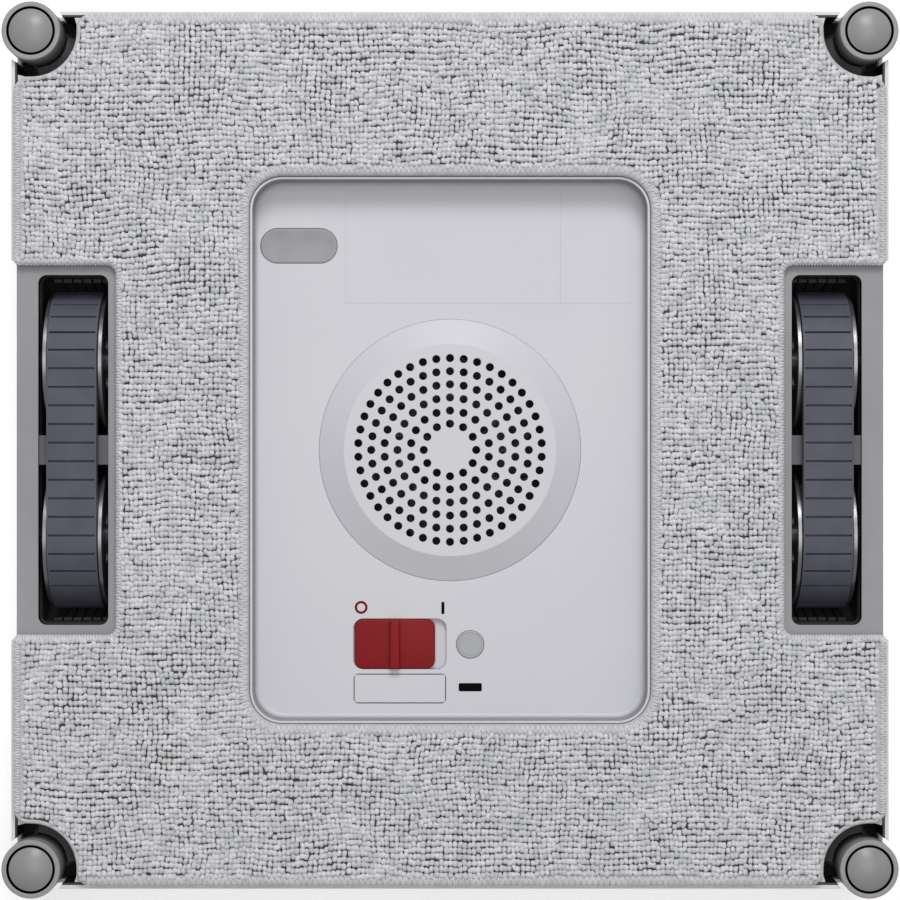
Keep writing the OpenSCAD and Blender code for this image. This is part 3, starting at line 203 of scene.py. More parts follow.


# Bands are rings about the fan's axis, painted darker or lighter as the shade and light on the
# impeller. A mask goes from its shade at the first value to the colour at the second, by height or
# by the lean of a face; the masks paint shade on walls and hollows, and in the track frame also give
# its wells their darker plastic.
# Inside paints shade on a shell's inner walls, as (reach, height, shade).
finishLooks = {
    # The shell's inner walls above 20 mm are painted near black as shade
    "shellWhiteShadedInside": dict(colour=tone(226, 225, 230), second=tone(221, 221, 226), patch=60, rough=0.32,
                       grain=0.35, grainDepth=0.006, edge=0.3, coat=0.15,
                       inside=(134.9, 20, tone(24, 24, 25))),
    "plateLilac": dict(colour=tone(214, 213, 219), second=tone(210, 210, 217), patch=70, rough=0.42,
                       grain=0.3, grainDepth=0.006, edge=0.25),
    # Recess walls: faces are painted darker the steeper they stand, as painted shade fading to the
    # lilac on flat faces
    "baseLilacShadedWalls": dict(colour=tone(214, 213, 219), second=tone(210, 210, 217), patch=70, rough=0.42,
                      grain=0.3, grainDepth=0.006, edge=0.25,
                      masks=[("lean", 0.0, 0.98, tone(146, 146, 151))]),
    # Track wells: below 47 mm a dark grey for the wells' darker plastic; from 47 to 49 mm a
    # near-black band of painted shade over the rib tops
    "frameGreyWellTintAndShade": dict(colour=tone(160, 160, 162), second=tone(154, 154, 157), patch=25, rough=0.5,
                      shine=0.2, grain=0.3, grainDepth=0.012, edge=0.25,
                      masks=[("height", 49.0, 49.4, tone(10, 10, 11)),
                             ("height", 46.6, 47.0, tone(84, 84, 86))]),
    # Mid-grey bracket: faces that stand steep or face down, and faces lying flat, are painted near
    # black as the shade of the deep corner well, so only the sloping facets keep the grey
    "bracketGreyLeanShaded": dict(colour=tone(108, 108, 111), second=tone(98, 98, 101), patch=12, rough=0.55,
                         shine=0.1, grain=0.4, grainDepth=0.02,
                         masks=[("lean", 0.3, 0.5, tone(26, 26, 27)),
                                ("lean", 0.97, 0.9, tone(20, 20, 21))]),
    "trackGrey": dict(colour=tone(158, 158, 160), second=tone(152, 152, 155), patch=25, rough=0.45,
                      grain=0.3, grainDepth=0.012, edge=0.25),
    "beltRubber": dict(colour=tone(84, 85, 98), second=tone(77, 78, 90), patch=8, rough=0.62,
                       roughSwing=0.12, grain=0.25, grainDepth=0.05, edge=0.15),
    "wheelPlastic": dict(colour=tone(150, 150, 152), second=tone(140, 140, 143), patch=10, rough=0.3,
                         metal=0.85, grain=0.3, grainDepth=0.01, edge=0.2),
    "guideGrey": dict(colour=tone(94, 94, 97), second=tone(88, 88, 91), patch=10, rough=0.45,
                      grain=0.3, grainDepth=0.012, edge=0.2),
    "rollerGrey": dict(colour=tone(158, 158, 159), second=tone(153, 153, 154), patch=8, rough=0.5,
                       grain=0.3, grainDepth=0.012),
    "domeGrey": dict(colour=tone(150, 150, 151), second=tone(146, 146, 147), patch=9, rough=0.36,
                     grain=0.25, grainDepth=0.008),
    "darkPlastic": dict(colour=tone(46, 46, 49), second=tone(38, 38, 41), patch=12, rough=0.45,
                        shine=0.3, grain=0.4, grainDepth=0.02, edge=0.15),
    # Impeller: within 14.2 mm of the axis painted near black as the shade in the eye, and from 14.2
    # to 18.2 mm painted lighter as the light on the shroud's lip
    "fanBlackLitAndShadedRings": dict(colour=tone(46, 46, 48), second=tone(38, 38, 40), patch=15, rough=0.42,
                     grain=0.4, grainDepth=0.015, edge=0.15,
                     bands=[(0, 14.2, tone(12, 12, 13)), (14.2, 18.2, tone(96, 96, 98))]),
    "caseGrey": dict(colour=tone(92, 92, 95), second=tone(84, 84, 87), patch=20, rough=0.5,
                     grain=0.4, grainDepth=0.015, edge=0.2),
    "steel": dict(colour=tone(196, 197, 200), second=tone(184, 185, 189), patch=6, rough=0.28,
                  roughSwing=0.1, metal=1.0, grain=0.2, stretch=(0.12, 1, 1), grainDepth=0.008,
                  edge=0.12),
    "bronze": dict(colour=tone(190, 150, 92), second=tone(172, 132, 78), patch=3, rough=0.42,
                   metal=1.0, grain=0.25, grainDepth=0.02, edge=0.1),
    "gearNylon": dict(colour=tone(228, 225, 212), second=tone(222, 218, 202), patch=9, rough=0.45,
                      grain=0.3, grainDepth=0.01, edge=0.1),
    "motorPaint": dict(colour=tone(70, 71, 74), second=tone(62, 63, 66), patch=12, rough=0.4,
                       grain=0.5, grainDepth=0.02, edge=0.25, coat=0.2),
    "foamBlack": dict(colour=tone(44, 44, 46), second=tone(30, 30, 32), patch=1.2, rough=0.95,
                      grain=0.6, grainDepth=0.2),
    "batteryWrap": dict(colour=tone(38, 84, 142), second=tone(32, 76, 132), patch=20, rough=0.22,
                        grain=1.5, grainDepth=0.03, edge=0.3, coat=0.4),
    "boardGreen": dict(colour=tone(24, 92, 58), second=tone(18, 78, 48), patch=2.5, rough=0.3,
                       grain=0.6, grainDepth=0.02, edge=0.1, coat=0.3),
    "redPlastic": dict(colour=tone(139, 22, 27), second=tone(134, 20, 25), patch=10, rough=0.5,
                       shine=0.18, grain=0.3, grainDepth=0.01),
    "buttonGrey": dict(colour=tone(175, 176, 178), second=tone(170, 171, 174), patch=5, rough=0.42,
                       grain=0.3, grainDepth=0.01),
    "plugRubber": dict(colour=tone(165, 165, 167), second=tone(159, 159, 161), patch=6, rough=0.66,
                       grain=0.3, grainDepth=0.03),
    "glandRubber": dict(colour=tone(70, 70, 73), second=tone(62, 62, 65), patch=6, rough=0.7,
                        grain=0.3, grainDepth=0.03, edge=0.3),
    "statusBlack": dict(colour=tone(10, 10, 11), second=tone(14, 14, 15), patch=3, rough=0.5,
                        shine=0.02, grain=1.0, grainDepth=0.003, edge=0.1),
    "buttonWhite": dict(colour=tone(230, 230, 233), second=tone(226, 226, 230), patch=12, rough=0.3,
                        grain=0.3, grainDepth=0.006, coat=0.2),
    "hookTape": dict(colour=tone(70, 70, 74), second=tone(52, 52, 56), patch=1.5, rough=0.9,
                     grain=0.4, grainDepth=0.15),
    "inkRed": dict(colour=tone(128, 10, 12), second=tone(120, 8, 10), patch=2, rough=0.6,
                   shine=0.05, grain=0.2, grainDepth=0.004),
    "inkBlack": dict(colour=tone(6, 6, 7), second=tone(10, 10, 11), patch=2, rough=0.6,
                     shine=0.05, grain=0.2, grainDepth=0.004),
    "reliefLilac": dict(colour=tone(206, 205, 211), second=tone(202, 202, 208), patch=40, rough=0.42,
                        grain=0.3, grainDepth=0.006),
    "clothLoops": dict(colour=tone(228, 228, 231), second=tone(200, 201, 202), patch=2.6, rough=0.92,
                       roughSwing=0.06, shine=0.1, sheen=0.2, grain=0.16, grainDepth=0.12,
                       grainDetail=6.0),
    # Base cloth under the loops, painted dark grey as the shade in the gaps between loops
    "clothBaseGapShade": dict(colour=tone(84, 84, 87), second=tone(64, 64, 67), patch=3, rough=0.95,
                      shine=0.1, sheen=0.1, grain=0.3, grainDepth=0.2),
    # Strip under the hem's threads, a little darker than the threads as painted shade between them
    "clothBandThreadShade": dict(colour=tone(204, 204, 207), second=tone(188, 188, 191), patch=2.4, rough=0.93,
                      shine=0.1, sheen=0.2, grain=0.18, grainDepth=0.12, grainDetail=6.0),
    "clothThread": dict(colour=tone(224, 224, 228), second=tone(206, 206, 209), patch=4, rough=0.88,
                        roughSwing=0.06, shine=0.1, sheen=0.2, grain=0.12, grainDepth=0.08),
    # Near black painted as the shade in the groove between roller and cap
    "grooveShadeBlack": dict(colour=tone(9, 9, 9), second=tone(14, 14, 14), patch=4, rough=0.7,
                        shine=0.05, grain=0.3, grainDepth=0.01),
    "labelGrooveShadeGrey": dict(colour=tone(44, 44, 47), second=tone(38, 38, 41), patch=6, rough=0.6,
                     shine=0.1, grain=0.2, grainDepth=0.004),
}
finishes = {name: makeFinish(name, look) for name, look in finishLooks.items()}
print("finishes made:", len(finishes))

# Finish of each CAD node
nodeFinish = {
    "back_cover": "shellWhiteShadedInside", "base_plate": "baseLilacShadedWalls", "fan_grille": "plateLilac",
    "cleaning_pad": "clothBaseGapShade", "hook_strips": "hookTape", "idler_axles": "steel",
    "axle_bushings": "bronze", "impeller": "fanBlackLitAndShadedRings", "fan_shaft": "steel",
    "fan_motor": "motorPaint", "fan_housing": "caseGrey", "fan_seal": "foamBlack",
    "exhaust_grille": "trackGrey", "battery_pack": "batteryWrap", "main_board": "boardGreen",
    "power_switch_slider": "redPlastic", "power_switch_body": "plateLilac",
    "reset_button": "buttonGrey", "start_button": "buttonWhite", "tact_switches": "darkPlastic",
    "port_cover": "plugRubber", "service_port": "darkPlastic", "status_window": "statusBlack",
    "cord_gland": "glandRubber", "rope_anchor": "steel", "plate_screws": "steel",
}
for side in ("left", "right"):
    for stem, look in {"track_frame": "frameGreyWellTintAndShade", "track_belt": "beltRubber",
                       "drive_wheel": "wheelPlastic", "idler_wheel": "wheelPlastic",
                       "drive_axle": "steel", "drive_gear": "gearNylon", "motor_pinion": "steel",
                       "drive_motor": "motorPaint", "belt_guide": "guideGrey"}.items():
        nodeFinish[f"{stem}_{side}"] = look
for corner in cornerSigns:
    for stem, look in {"corner_roller": "rollerGrey", "edge_sensor": "domeGrey",
                       "sensor_spring": "steel", "corner_bracket": "bracketGreyLeanShaded"}.items():
        nodeFinish[f"{stem}_{corner}"] = look
for name, look in nodeFinish.items():
    cadNodes[name].data.materials.clear()
    cadNodes[name].data.materials.append(finishes[look])


# Shapes
def finishMesh(name, bm):
    mesh = bpy.data.meshes.new(name)
    bm.to_mesh(mesh)
    bm.free()
    return mesh


def addPiece(name, bm, finish, body):
    mesh = finishMesh(name, bm)
    mesh.materials.append(finishes[finish])
    mesh.shade_smooth()
    piece = bpy.data.objects.new(name, mesh)
    bpy.context.scene.collection.objects.link(piece)
    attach(piece, body)
    return piece


# Gives the faces that a test picks a second finish
def repaint(piece, finish, test):
    piece.data.materials.append(finishes[finish])
    for face in piece.data.polygons:
        if test(face.center / mm, face.normal):
            face.material_index = 1


def joinPart(bm, part):
    mesh = finishMesh("part", part)
    bm.from_mesh(mesh)
    bpy.data.meshes.remove(mesh)


def sharpen(piece, angle):
    piece.data.set_sharp_from_angle(angle=math.radians(angle))


def roundCorner(centre, radius, start, end, steps=4):
    turns = [math.radians(start + (end - start) * i / steps) for i in range(steps + 1)]
    return [(centre[0] + radius * math.cos(turn), centre[1] + radius * math.sin(turn))
            for turn in turns]


def roundEdges(bm, edges, radius, segments):
    bmesh.ops.bevel(bm, geom=edges, offset=radius * mm, segments=segments, affect="EDGES",
                    profile=0.5, material=-1)


# Turns a profile of (radius, height) in millimetres about an upright axis
def turnedShape(bm, profile, place, steps=96, closed=True):
    start = [bm.verts.new((place[0] + r * mm, place[1], z * mm)) for r, z in profile]
    edges = [bm.edges.new(pair) for pair in zip(start, start[1:])]
    if closed:
        edges.append(bm.edges.new((start[-1], start[0])))
    bmesh.ops.spin(bm, geom=start + edges, cent=(place[0], place[1], 0), axis=(0, 0, 1),
                   angle=2 * math.pi, steps=steps, use_merge=True)
    bmesh.ops.remove_doubles(bm, verts=bm.verts, dist=0.001 * mm)
    bmesh.ops.recalc_face_normals(bm, faces=bm.faces)


# Upright block with round corners in plan; its top faces are returned
def roundedBlock(bm, centre, size, low, top, cornerR, segments=8):
    made = bmesh.ops.create_cube(bm, size=1)["verts"]
    bmesh.ops.scale(bm, vec=(size[0] * mm, size[1] * mm, (top - low) * mm), verts=made)
    bmesh.ops.translate(bm, vec=(centre[0] * mm, centre[1] * mm, (low + top) / 2 * mm), verts=made)
    faces = {f for v in made for f in v.link_faces}
    upright = {e for f in faces for e in f.edges
               if abs(e.verts[0].co.z - e.verts[1].co.z) > 0.1 * mm}
    roundEdges(bm, list(upright), cornerR, segments)
    bm.normal_update()
    return [f for f in bm.faces if f.normal.z > 0.9
            and abs(f.calc_center_median().z - top * mm) < 0.01 * mm]


def softenTop(bm, faces, radius, segments=3):
    rim = [e for f in faces for e in f.edges
           if sum(other in faces for other in e.link_faces) == 1]
    roundEdges(bm, rim, radius, segments)


# Cleaning pad: a rounded body, rows of terry loops and an overlocked hem
padCloth = dict(
    bottom=50.0, shoulder=51.7, flatTop=52.45, cadTop=53.4, edgePitch=0.35, bandPitch=1.0,
    loopPitch=(1.39, 1.74), loopHalf=(0.77, 0.96, 0.84), loopHeight=52.5, loopSwell=1.12,
    loopRound=0.82, loopUneven=0.11, loopFloor=-0.7, heightSwing=0.14, spin=0.5, tilt=0.34,
    wave=0.8, waveSize=19.0, waveSlice=3.1, fineWave=0.3, fineSize=5.5, fineSlice=8.7,
    swayShift=(9.32, -1.53, -7.95),
    jitter=(0.11, 0.18), sizeSwing=0.14, pillows=12, field=290,
    threadStep=0.1, threadHigh=53.0, threadLow=52.5, threadLean=0.06, threadSwing=0.15,
    threadLong=0.58, threadThick=0.36, dropInset=0.15, dropMiddle=51.55, dropHalf=(0.42, 1.15),
)
# For each stretch of the pad's edge: the width of its hem, the pitch, lean and half width of
# the threads, how far in the loops start, and the band's section as (inset, height)
hemKinds = {
    "window": dict(width=3.5, pitch=0.75, lean=0.30, half=0.36, loopsFrom=2.7,
                   band=[(-0.12, 50.6), (0.0, 52.0), (0.3, 52.6), (1.8, 52.8), (2.6, 52.75),
                         (3.4, 52.6)]),
    "outer": dict(width=3.6, pitch=0.84, lean=0.26, half=0.44, loopsFrom=2.8,
                  band=[(0, 51.4), (0.05, 51.9), (0.35, 52.6), (1.8, 52.8), (2.6, 52.75),
                        (3.5, 52.6)]),
    "side": dict(width=2.3, pitch=0.74, lean=0.24, half=0.38, loopsFrom=2.8,
                 band=[(0, 51.9), (0.35, 52.7), (2.2, 52.85), (2.6, 53.05), (3.1, 52.9),
                       (3.5, 52.5)]),
    "notch": dict(width=2.2, pitch=0.80, lean=0.35, half=0.40, loopsFrom=1.5,
                  band=[(0, 51.4), (0.05, 51.9), (0.35, 52.6), (1.1, 52.8), (1.6, 52.75),
                        (2.1, 52.6)]),
    "corner": dict(width=0, loopsFrom=1.15,
                   band=[(0, 51.4), (0.02, 51.8), (0.15, 52.3), (0.45, 52.8), (0.9, 52.9),
                         (1.4, 52.5)]),
}
# Where those stretches lie, as distances from the pad's middle
hemPlaces = dict(windowX=66, windowY=90, corner=112, notchX=100, notchEnd=133, notchY=60,
                 sideX=130)


# Copy of the CAD's pad with its top lowered, to carry the cloth
def padBody(cloth):
    bm = bmesh.new()
    bm.from_mesh(cadNodes["cleaning_pad"].data)
    bmesh.ops.remove_doubles(bm, verts=bm.verts, dist=0.01 * mm)
    crown = {(round(v.co.x / mm, 2), round(v.co.y / mm, 2)) for v in bm.verts
             if v.co.z > (cloth["cadTop"] - 0.1) * mm}
    for v in bm.verts:
        if v.co.z < (cloth["bottom"] + 0.1) * mm:
            continue
        inner = (round(v.co.x / mm, 2), round(v.co.y / mm, 2)) in crown
        v.co.z = (cloth["flatTop"] if inner else cloth["shoulder"]) * mm
    bmesh.ops.remove_doubles(bm, verts=bm.verts, dist=0.02 * mm)
    bmesh.ops.recalc_face_normals(bm, faces=bm.faces)
    return bm


# Walks the edges round the pad's foot, one line for each closed loop
def footLoops(bm, level):
    foot = [e for e in bm.edges if all(abs(v.co.z - level * mm) < 0.02 * mm for v in e.verts)
            and len({round(abs(f.normal.z)) for f in e.link_faces}) == 2]
    left = set(foot)
    loops = []
    while left:
        edge = min(left, key=lambda e: e.index)
        left.discard(edge)
        line = [edge.verts[0], edge.verts[1]]
        while True:
            onward = [e for e in line[-1].link_edges if e in left]
            if not onward:
                break
            left.discard(onward[0])
            line.append(onward[0].other_vert(line[-1]))
        loops.append([Vector((v.co.x, v.co.y, 0)) for v in line])
    return loops


# Points along a line at an even pitch, each with the line's direction
def evenPoints(line, pitch):
    total = sum((b - a).length for a, b in zip(line, line[1:]))
    count = max(3, round(total / pitch))
    step, places, travelled, target = total / count, [], 0.0, 0.0
    for a, b in zip(line, line[1:]):
        length = (b - a).length
        while length and travelled + length > target + 1e-9 and len(places) < count:
            share = (target - travelled) / length
            places.append((a.lerp(b, share), (b - a).normalized()))
            target += step
        travelled += length
    return places


# A few uneven, open-bottomed pillows that the loops are stamped from
def pillowShapes(cloth):
    rng = random.Random(5)
    pillows = []
    for _ in range(cloth["pillows"]):
        bm = bmesh.new()
        bmesh.ops.create_cube(bm, size=2)
        bmesh.ops.subdivide_edges(bm, edges=bm.edges[:], cuts=1, use_grid_fill=True)
        for v in bm.verts:
            v.co = v.co.lerp(v.co.normalized() * cloth["loopSwell"], cloth["loopRound"])
            v.co += Vector([rng.gauss(0, cloth["loopUneven"]) for _ in range(3)])
        below = [f for f in bm.faces if f.calc_center_median().z < cloth["loopFloor"]]
        bmesh.ops.delete(bm, geom=below, context="FACES")
        pillows.append(finishMesh("pillow", bm))
    return pillows


# Adds a copy of a small mesh in its place
def stampSeed(bm, seed, matrix):
    stamp = seed.copy()
    stamp.transform(matrix)
    bm.from_mesh(stamp)
    bpy.data.meshes.remove(stamp)


bodyBm = padBody(padCloth)
bodyBm.edges.index_update()
footLines = footLoops(bodyBm, padCloth["bottom"])
padTree = BVHTree.FromBMesh(bodyBm)
outline = [p for line in footLines for p in evenPoints(line, padCloth["edgePitch"] * mm)]
nearEdge = kdtree.KDTree(len(outline))
for i, (place, _) in enumerate(outline):
    nearEdge.insert(place, i)
nearEdge.balance()


def hemKind(place):
    x, y = abs(place.x) / mm, abs(place.y) / mm
    if x < hemPlaces["windowX"] and y < hemPlaces["windowY"]:
        return hemKinds["window"]
    if x > hemPlaces["corner"] and y > hemPlaces["corner"]:
        return hemKinds["corner"]
    if hemPlaces["notchX"] < x < hemPlaces["notchEnd"] and y < hemPlaces["notchY"]:
        return hemKinds["notch"]
    return hemKinds["side" if x > hemPlaces["sideX"] else "outer"]


def onPad(x, y):
    above = Vector((x, y, (padCloth["cadTop"] + 10) * mm))
    spot = padTree.ray_cast(above, Vector((0, 0, -1)))[0]
    return spot is not None and spot.z > (padCloth["bottom"] + 1) * mm


# Slow drift of the loops to the side and along, the same in each run
def loopSway(x, y, level, size):
    spot = Vector((x, y, level)) / size
    return noise.noise(spot), noise.noise(spot + Vector(padCloth["swayShift"]))


# Rows of loops, waved and jittered, in one mesh for each quarter of the pad
def loopPieces(cloth):
    rng = random.Random(7)
    pillows = pillowShapes(cloth)
    quarters = [bmesh.new() for _ in range(4)]
    stepX, stepY = cloth["loopPitch"]
    columns, rows = int(cloth["field"] / stepX), int(cloth["field"] / stepY)
    made = 0
    for row in range(rows):
        for column in range(columns):
            x = (column - columns / 2) * stepX
            y = (row - rows / 2) * stepY
            slowX, slowY = loopSway(x, y, cloth["waveSlice"], cloth["waveSize"])
            fineX, fineY = loopSway(x, y, cloth["fineSlice"], cloth["fineSize"])
            x += 2 * cloth["wave"] * slowX + cloth["fineWave"] * fineX
            y += 2 * cloth["wave"] * slowY + cloth["fineWave"] * fineY
            x += rng.gauss(0, cloth["jitter"][0])
            y += rng.gauss(0, cloth["jitter"][1])
            spin = rng.uniform(-1, 1) * cloth["spin"]
            tilt = [rng.uniform(-1, 1) * cloth["tilt"] for _ in range(2)]
            size = [1 + rng.uniform(-1, 1) * cloth["sizeSwing"] for _ in range(2)]
            lift = rng.uniform(-1, 1) * cloth["heightSwing"]
            pillow = rng.choice(pillows)
            place = Vector((x * mm, y * mm, 0))
            if not onPad(place.x, place.y):
                continue
            if nearEdge.find(place)[2] / mm < hemKind(place)["loopsFrom"]:
                continue
            half = cloth["loopHalf"]
            matrix = (
                Matrix.Translation((place.x, place.y, (cloth["loopHeight"] + lift) * mm))
                @ Matrix.Rotation(spin, 4, "Z") @ Matrix.Rotation(tilt[0], 4, "X")
                @ Matrix.Rotation(tilt[1], 4, "Y")
                @ Matrix.Diagonal((half[0] * size[0] * mm, half[1] * size[1] * mm, half[2] * mm, 1))
            )
            stampSeed(quarters[(x > 0) + 2 * (y > 0)], pillow, matrix)
            made += 1
    for pillow in pillows:
        bpy.data.meshes.remove(pillow)
    print("terry loops:", made)
    return quarters


# Direction from the pad's edge into the pad
def inward(place, along):
    across = Vector((-along.y, along.x, 0))
    return across if onPad(place.x + across.x * mm, place.y + across.y * mm) else -across


# Rounded strip under the hem's threads, drawn inwards from the pad's foot in steps
def hemBand(cloth):
    bm = bmesh.new()
    for line in footLines:
        spots = []
        for place, along in evenPoints(line, cloth["bandPitch"] * mm):
            across = inward(place, along)
            spots.append([place + across * inset * mm + Vector((0, 0, rise * mm))
                          for inset, rise in hemKind(place + across * mm)["band"]])
        row = [bm.verts.new(spot[0]) for spot in spots]
        edges = [bm.edges.new(pair) for pair in zip(row, row[1:] + row[:1])]
        for step in range(1, len(spots[0])):
            drawn = bmesh.ops.extrude_edge_only(bm, edges=edges)["geom"]
            fresh = {v for v in drawn if isinstance(v, bmesh.types.BMVert)}
            edges = [e for e in drawn
                     if isinstance(e, bmesh.types.BMEdge) and set(e.verts) <= fresh]
            row = [next(e.other_vert(v) for e in v.link_edges if e.other_vert(v) in fresh)
                   for v in row]
            for v, spot in zip(row, spots):
                v.co = spot[step]
    bmesh.ops.recalc_face_normals(bm, faces=bm.faces)
    return bm


# Threads over the pad's edge that slant to and fro, each with a drop down the pad's side except
# round the window
def hemThreads(cloth):
    rng = random.Random(11)
    bead = bmesh.new()
    bmesh.ops.create_icosphere(bead, subdivisions=1, radius=1)
    seed = finishMesh("thread", bead)
    bm = bmesh.new()
    middleZ = (cloth["threadHigh"] + cloth["threadLow"]) / 2
    dropX, dropZ = cloth["dropHalf"]
    made = 0
    for line in footLines:
        travelled, turn = 0.0, 1
        for place, along in evenPoints(line, cloth["threadStep"] * mm):
            travelled += cloth["threadStep"]
            across = inward(place, along)
            kind = hemKind(place + across * mm)
            if not kind["width"] or travelled < kind["pitch"]:
                continue
            travelled, turn = 0.0, -turn
            wide = kind["width"] * mm
            lean = turn * kind["lean"] + rng.uniform(-1, 1) * cloth["threadLean"]
            reach = (across + lean * along).normalized()
            middle = place + across * wide / 2
            rise = math.atan2(cloth["threadHigh"] - cloth["threadLow"], kind["width"])
            facing = Matrix.Rotation(math.atan2(reach.y, reach.x), 4, "Z")
            half = kind["half"] * (1 + rng.uniform(-1, 1) * cloth["threadSwing"])
            size = (wide * cloth["threadLong"], half * mm, cloth["threadThick"] * mm, 1)
            matrix = (
                Matrix.Translation((middle.x, middle.y, middleZ * mm))
                @ facing @ Matrix.Rotation(-rise, 4, "Y") @ Matrix.Diagonal(size)
            )
            stampSeed(bm, seed, matrix)
            made += 1
            if kind is hemKinds["window"]:
                continue
            foot = place + across * cloth["dropInset"] * mm
            drop = (
                Matrix.Translation((foot.x, foot.y, cloth["dropMiddle"] * mm))
                @ facing @ Matrix.Diagonal((dropX * mm, half * mm, dropZ * mm, 1))
            )
            stampSeed(bm, seed, drop)
    bpy.data.meshes.remove(seed)
    print("hem threads:", made)
    return bm


loopQuarters = loopPieces(padCloth)
band = hemBand(padCloth)
threads = hemThreads(padCloth)
piece = addPiece("pad_body", bodyBm, "clothBaseGapShade", "chassis")
sharpen(piece, 50)
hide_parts("cleaning_pad")
for name, quarter in zip(("low_left", "low_right", "high_left", "high_right"), loopQuarters):
    piece = addPiece("terry_loops_" + name, quarter, "clothLoops", "chassis")
addPiece("hem_band", band, "clothBandThreadShade", "chassis")
addPiece("hem_threads", threads, "clothThread", "chassis")
print("pad made")

# Track belts: rubber loops round two wheels each, with a guide rib on the inside and cross
# grooves on the outside that stop short of the edges
belt = dict(across=116.7, width=15.4, outerR=22.6, innerR=19.6, wheels=27.5, axleZ=31.3,
            ribWidth=4.0, ribR=18.0, grooves=44, groove=0.6, grooveDeep=1.1, border=0.55,
            taper=0.02, start=19.45, steps=4)


# Place and turn of the belt's section, a way round from the middle of the upper run
def beltFrame(b, way):
    arc = math.pi * b["outerR"]
    wheels = b["wheels"]
    way %= 4 * wheels + 2 * arc
    if way < wheels:  # upper run, front half
        y, turn = way, 0.0
    elif way < wheels + arc:  # round the front wheel
        y, turn = wheels, -(way - wheels) / b["outerR"]
    elif way < 3 * wheels + arc:  # lower run
        y, turn = 2 * wheels + arc - way, math.pi
    elif way > 3 * wheels + 2 * arc:  # upper run, back half
        y, turn = way - 4 * wheels - 2 * arc, 0.0
    else:  # round the back wheel
        y, turn = -wheels, -math.pi - (way - 3 * wheels - arc) / b["outerR"]
    return Matrix.Translation((0, y * mm, b["axleZ"] * mm)) @ Matrix.Rotation(turn, 4, "X")


def beltShape(b, side):
    bm = bmesh.new()
    half, inner, rib = b["width"] / 2, b["width"] / 2 - b["border"], b["ribWidth"] / 2
    pitch = (4 * b["wheels"] + 2 * math.pi * b["outerR"]) / b["grooves"]
    steps = [b["groove"]] + [(pitch - b["groove"]) / b["steps"]] * b["steps"]
    section = [(-inner, b["outerR"]), (-half, b["outerR"]), (-half, b["innerR"]),
               (-rib, b["innerR"]), (-rib, b["ribR"]), (rib, b["ribR"]), (rib, b["innerR"]),
               (half, b["innerR"]), (half, b["outerR"]), (inner, b["outerR"])]
    way = b["start"] - b["groove"] / 2
    frameNow = beltFrame(b, way)
    verts = [bm.verts.new(frameNow @ Vector(((side * b["across"] + x) * mm, 0, radius * mm)))
             for x, radius in section]
    edges = [bm.edges.new(pair) for pair in zip(verts, verts[1:] + verts[:1])]
    for step in steps * b["grooves"]:
        drawn = bmesh.ops.extrude_edge_only(bm, edges=edges)["geom"]
        verts = [v for v in drawn if isinstance(v, bmesh.types.BMVert)]
        edges = [e for e in drawn
                 if isinstance(e, bmesh.types.BMEdge) and set(e.verts) <= set(verts)]
        way += step
        frameNext = beltFrame(b, way)
        bmesh.ops.transform(bm, matrix=frameNext @ frameNow.inverted(), verts=verts)
        frameNow = frameNext
    bmesh.ops.remove_doubles(bm, verts=bm.verts, dist=0.01 * mm)
    bmesh.ops.recalc_face_normals(bm, faces=bm.faces)
    slotArea = 2 * inner * b["groove"] * mm * mm
    slots = [f for f in bm.faces if abs(f.calc_area() - slotArea) < 0.1 * slotArea]
    bmesh.ops.inset_individual(bm, faces=slots, thickness=b["taper"] * mm,
                               depth=-b["grooveDeep"] * mm)
    print("belt grooves:", len(slots))
    return bm


for name, side in (("left", -1), ("right", 1)):
    piece = addPiece("belt_" + name, beltShape(belt, side), "beltRubber", "chassis")
    sharpen(piece, 30)
    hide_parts("track_belt_" + name)
print("belts made")

# Corner rollers and the domed sensor caps inside them
roller = dict(axis=129.4, radius=9.04, low=42.0, top=53.2, seat=48.2, bore=6.25, dish=7.5,
              rim=0.35, inner=0.15)
cap = dict(radius=6.77, low=51.6, rimTop=53.0, crown=2.2, edge=0.25, rings=14, stem=2.5,
           stemLow=39.9, travel=2.2)


def rollerProfile(r):
    return (
        [(r["bore"], r["low"])]
        + roundCorner((r["radius"] - r["rim"], r["low"] + r["rim"]), r["rim"], -90, 0)
        + roundCorner((r["radius"] - r["rim"], r["top"] - r["rim"]), r["rim"], 0, 90)
        + roundCorner((r["dish"] + r["inner"], r["top"] - r["inner"]), r["inner"], 90, 180, 3)
        + [(r["dish"], r["seat"]), (r["bore"], r["seat"])]
    )


def capProfile(c):
    crownR = (c["radius"] ** 2 + c["crown"] ** 2) / (2 * c["crown"])
    centreZ = c["rimTop"] + c["crown"] - crownR
    rimTurn = math.asin((c["radius"] - c["edge"]) / crownR)
    turns = [rimTurn * i / c["rings"] for i in range(c["rings"] + 1)]
    dome = [(crownR * math.sin(turn), centreZ + crownR * math.cos(turn)) for turn in turns]
    edgeZ = dome[-1][1]
    soft = 0.3 * c["edge"]
    return (
        dome
        + [(c["radius"] - soft, edgeZ - soft), (c["radius"], edgeZ - c["edge"])]
        + [(c["radius"], c["low"]), (c["stem"], c["low"]), (c["stem"], c["stemLow"])]
        + [(0, c["stemLow"])]
    )


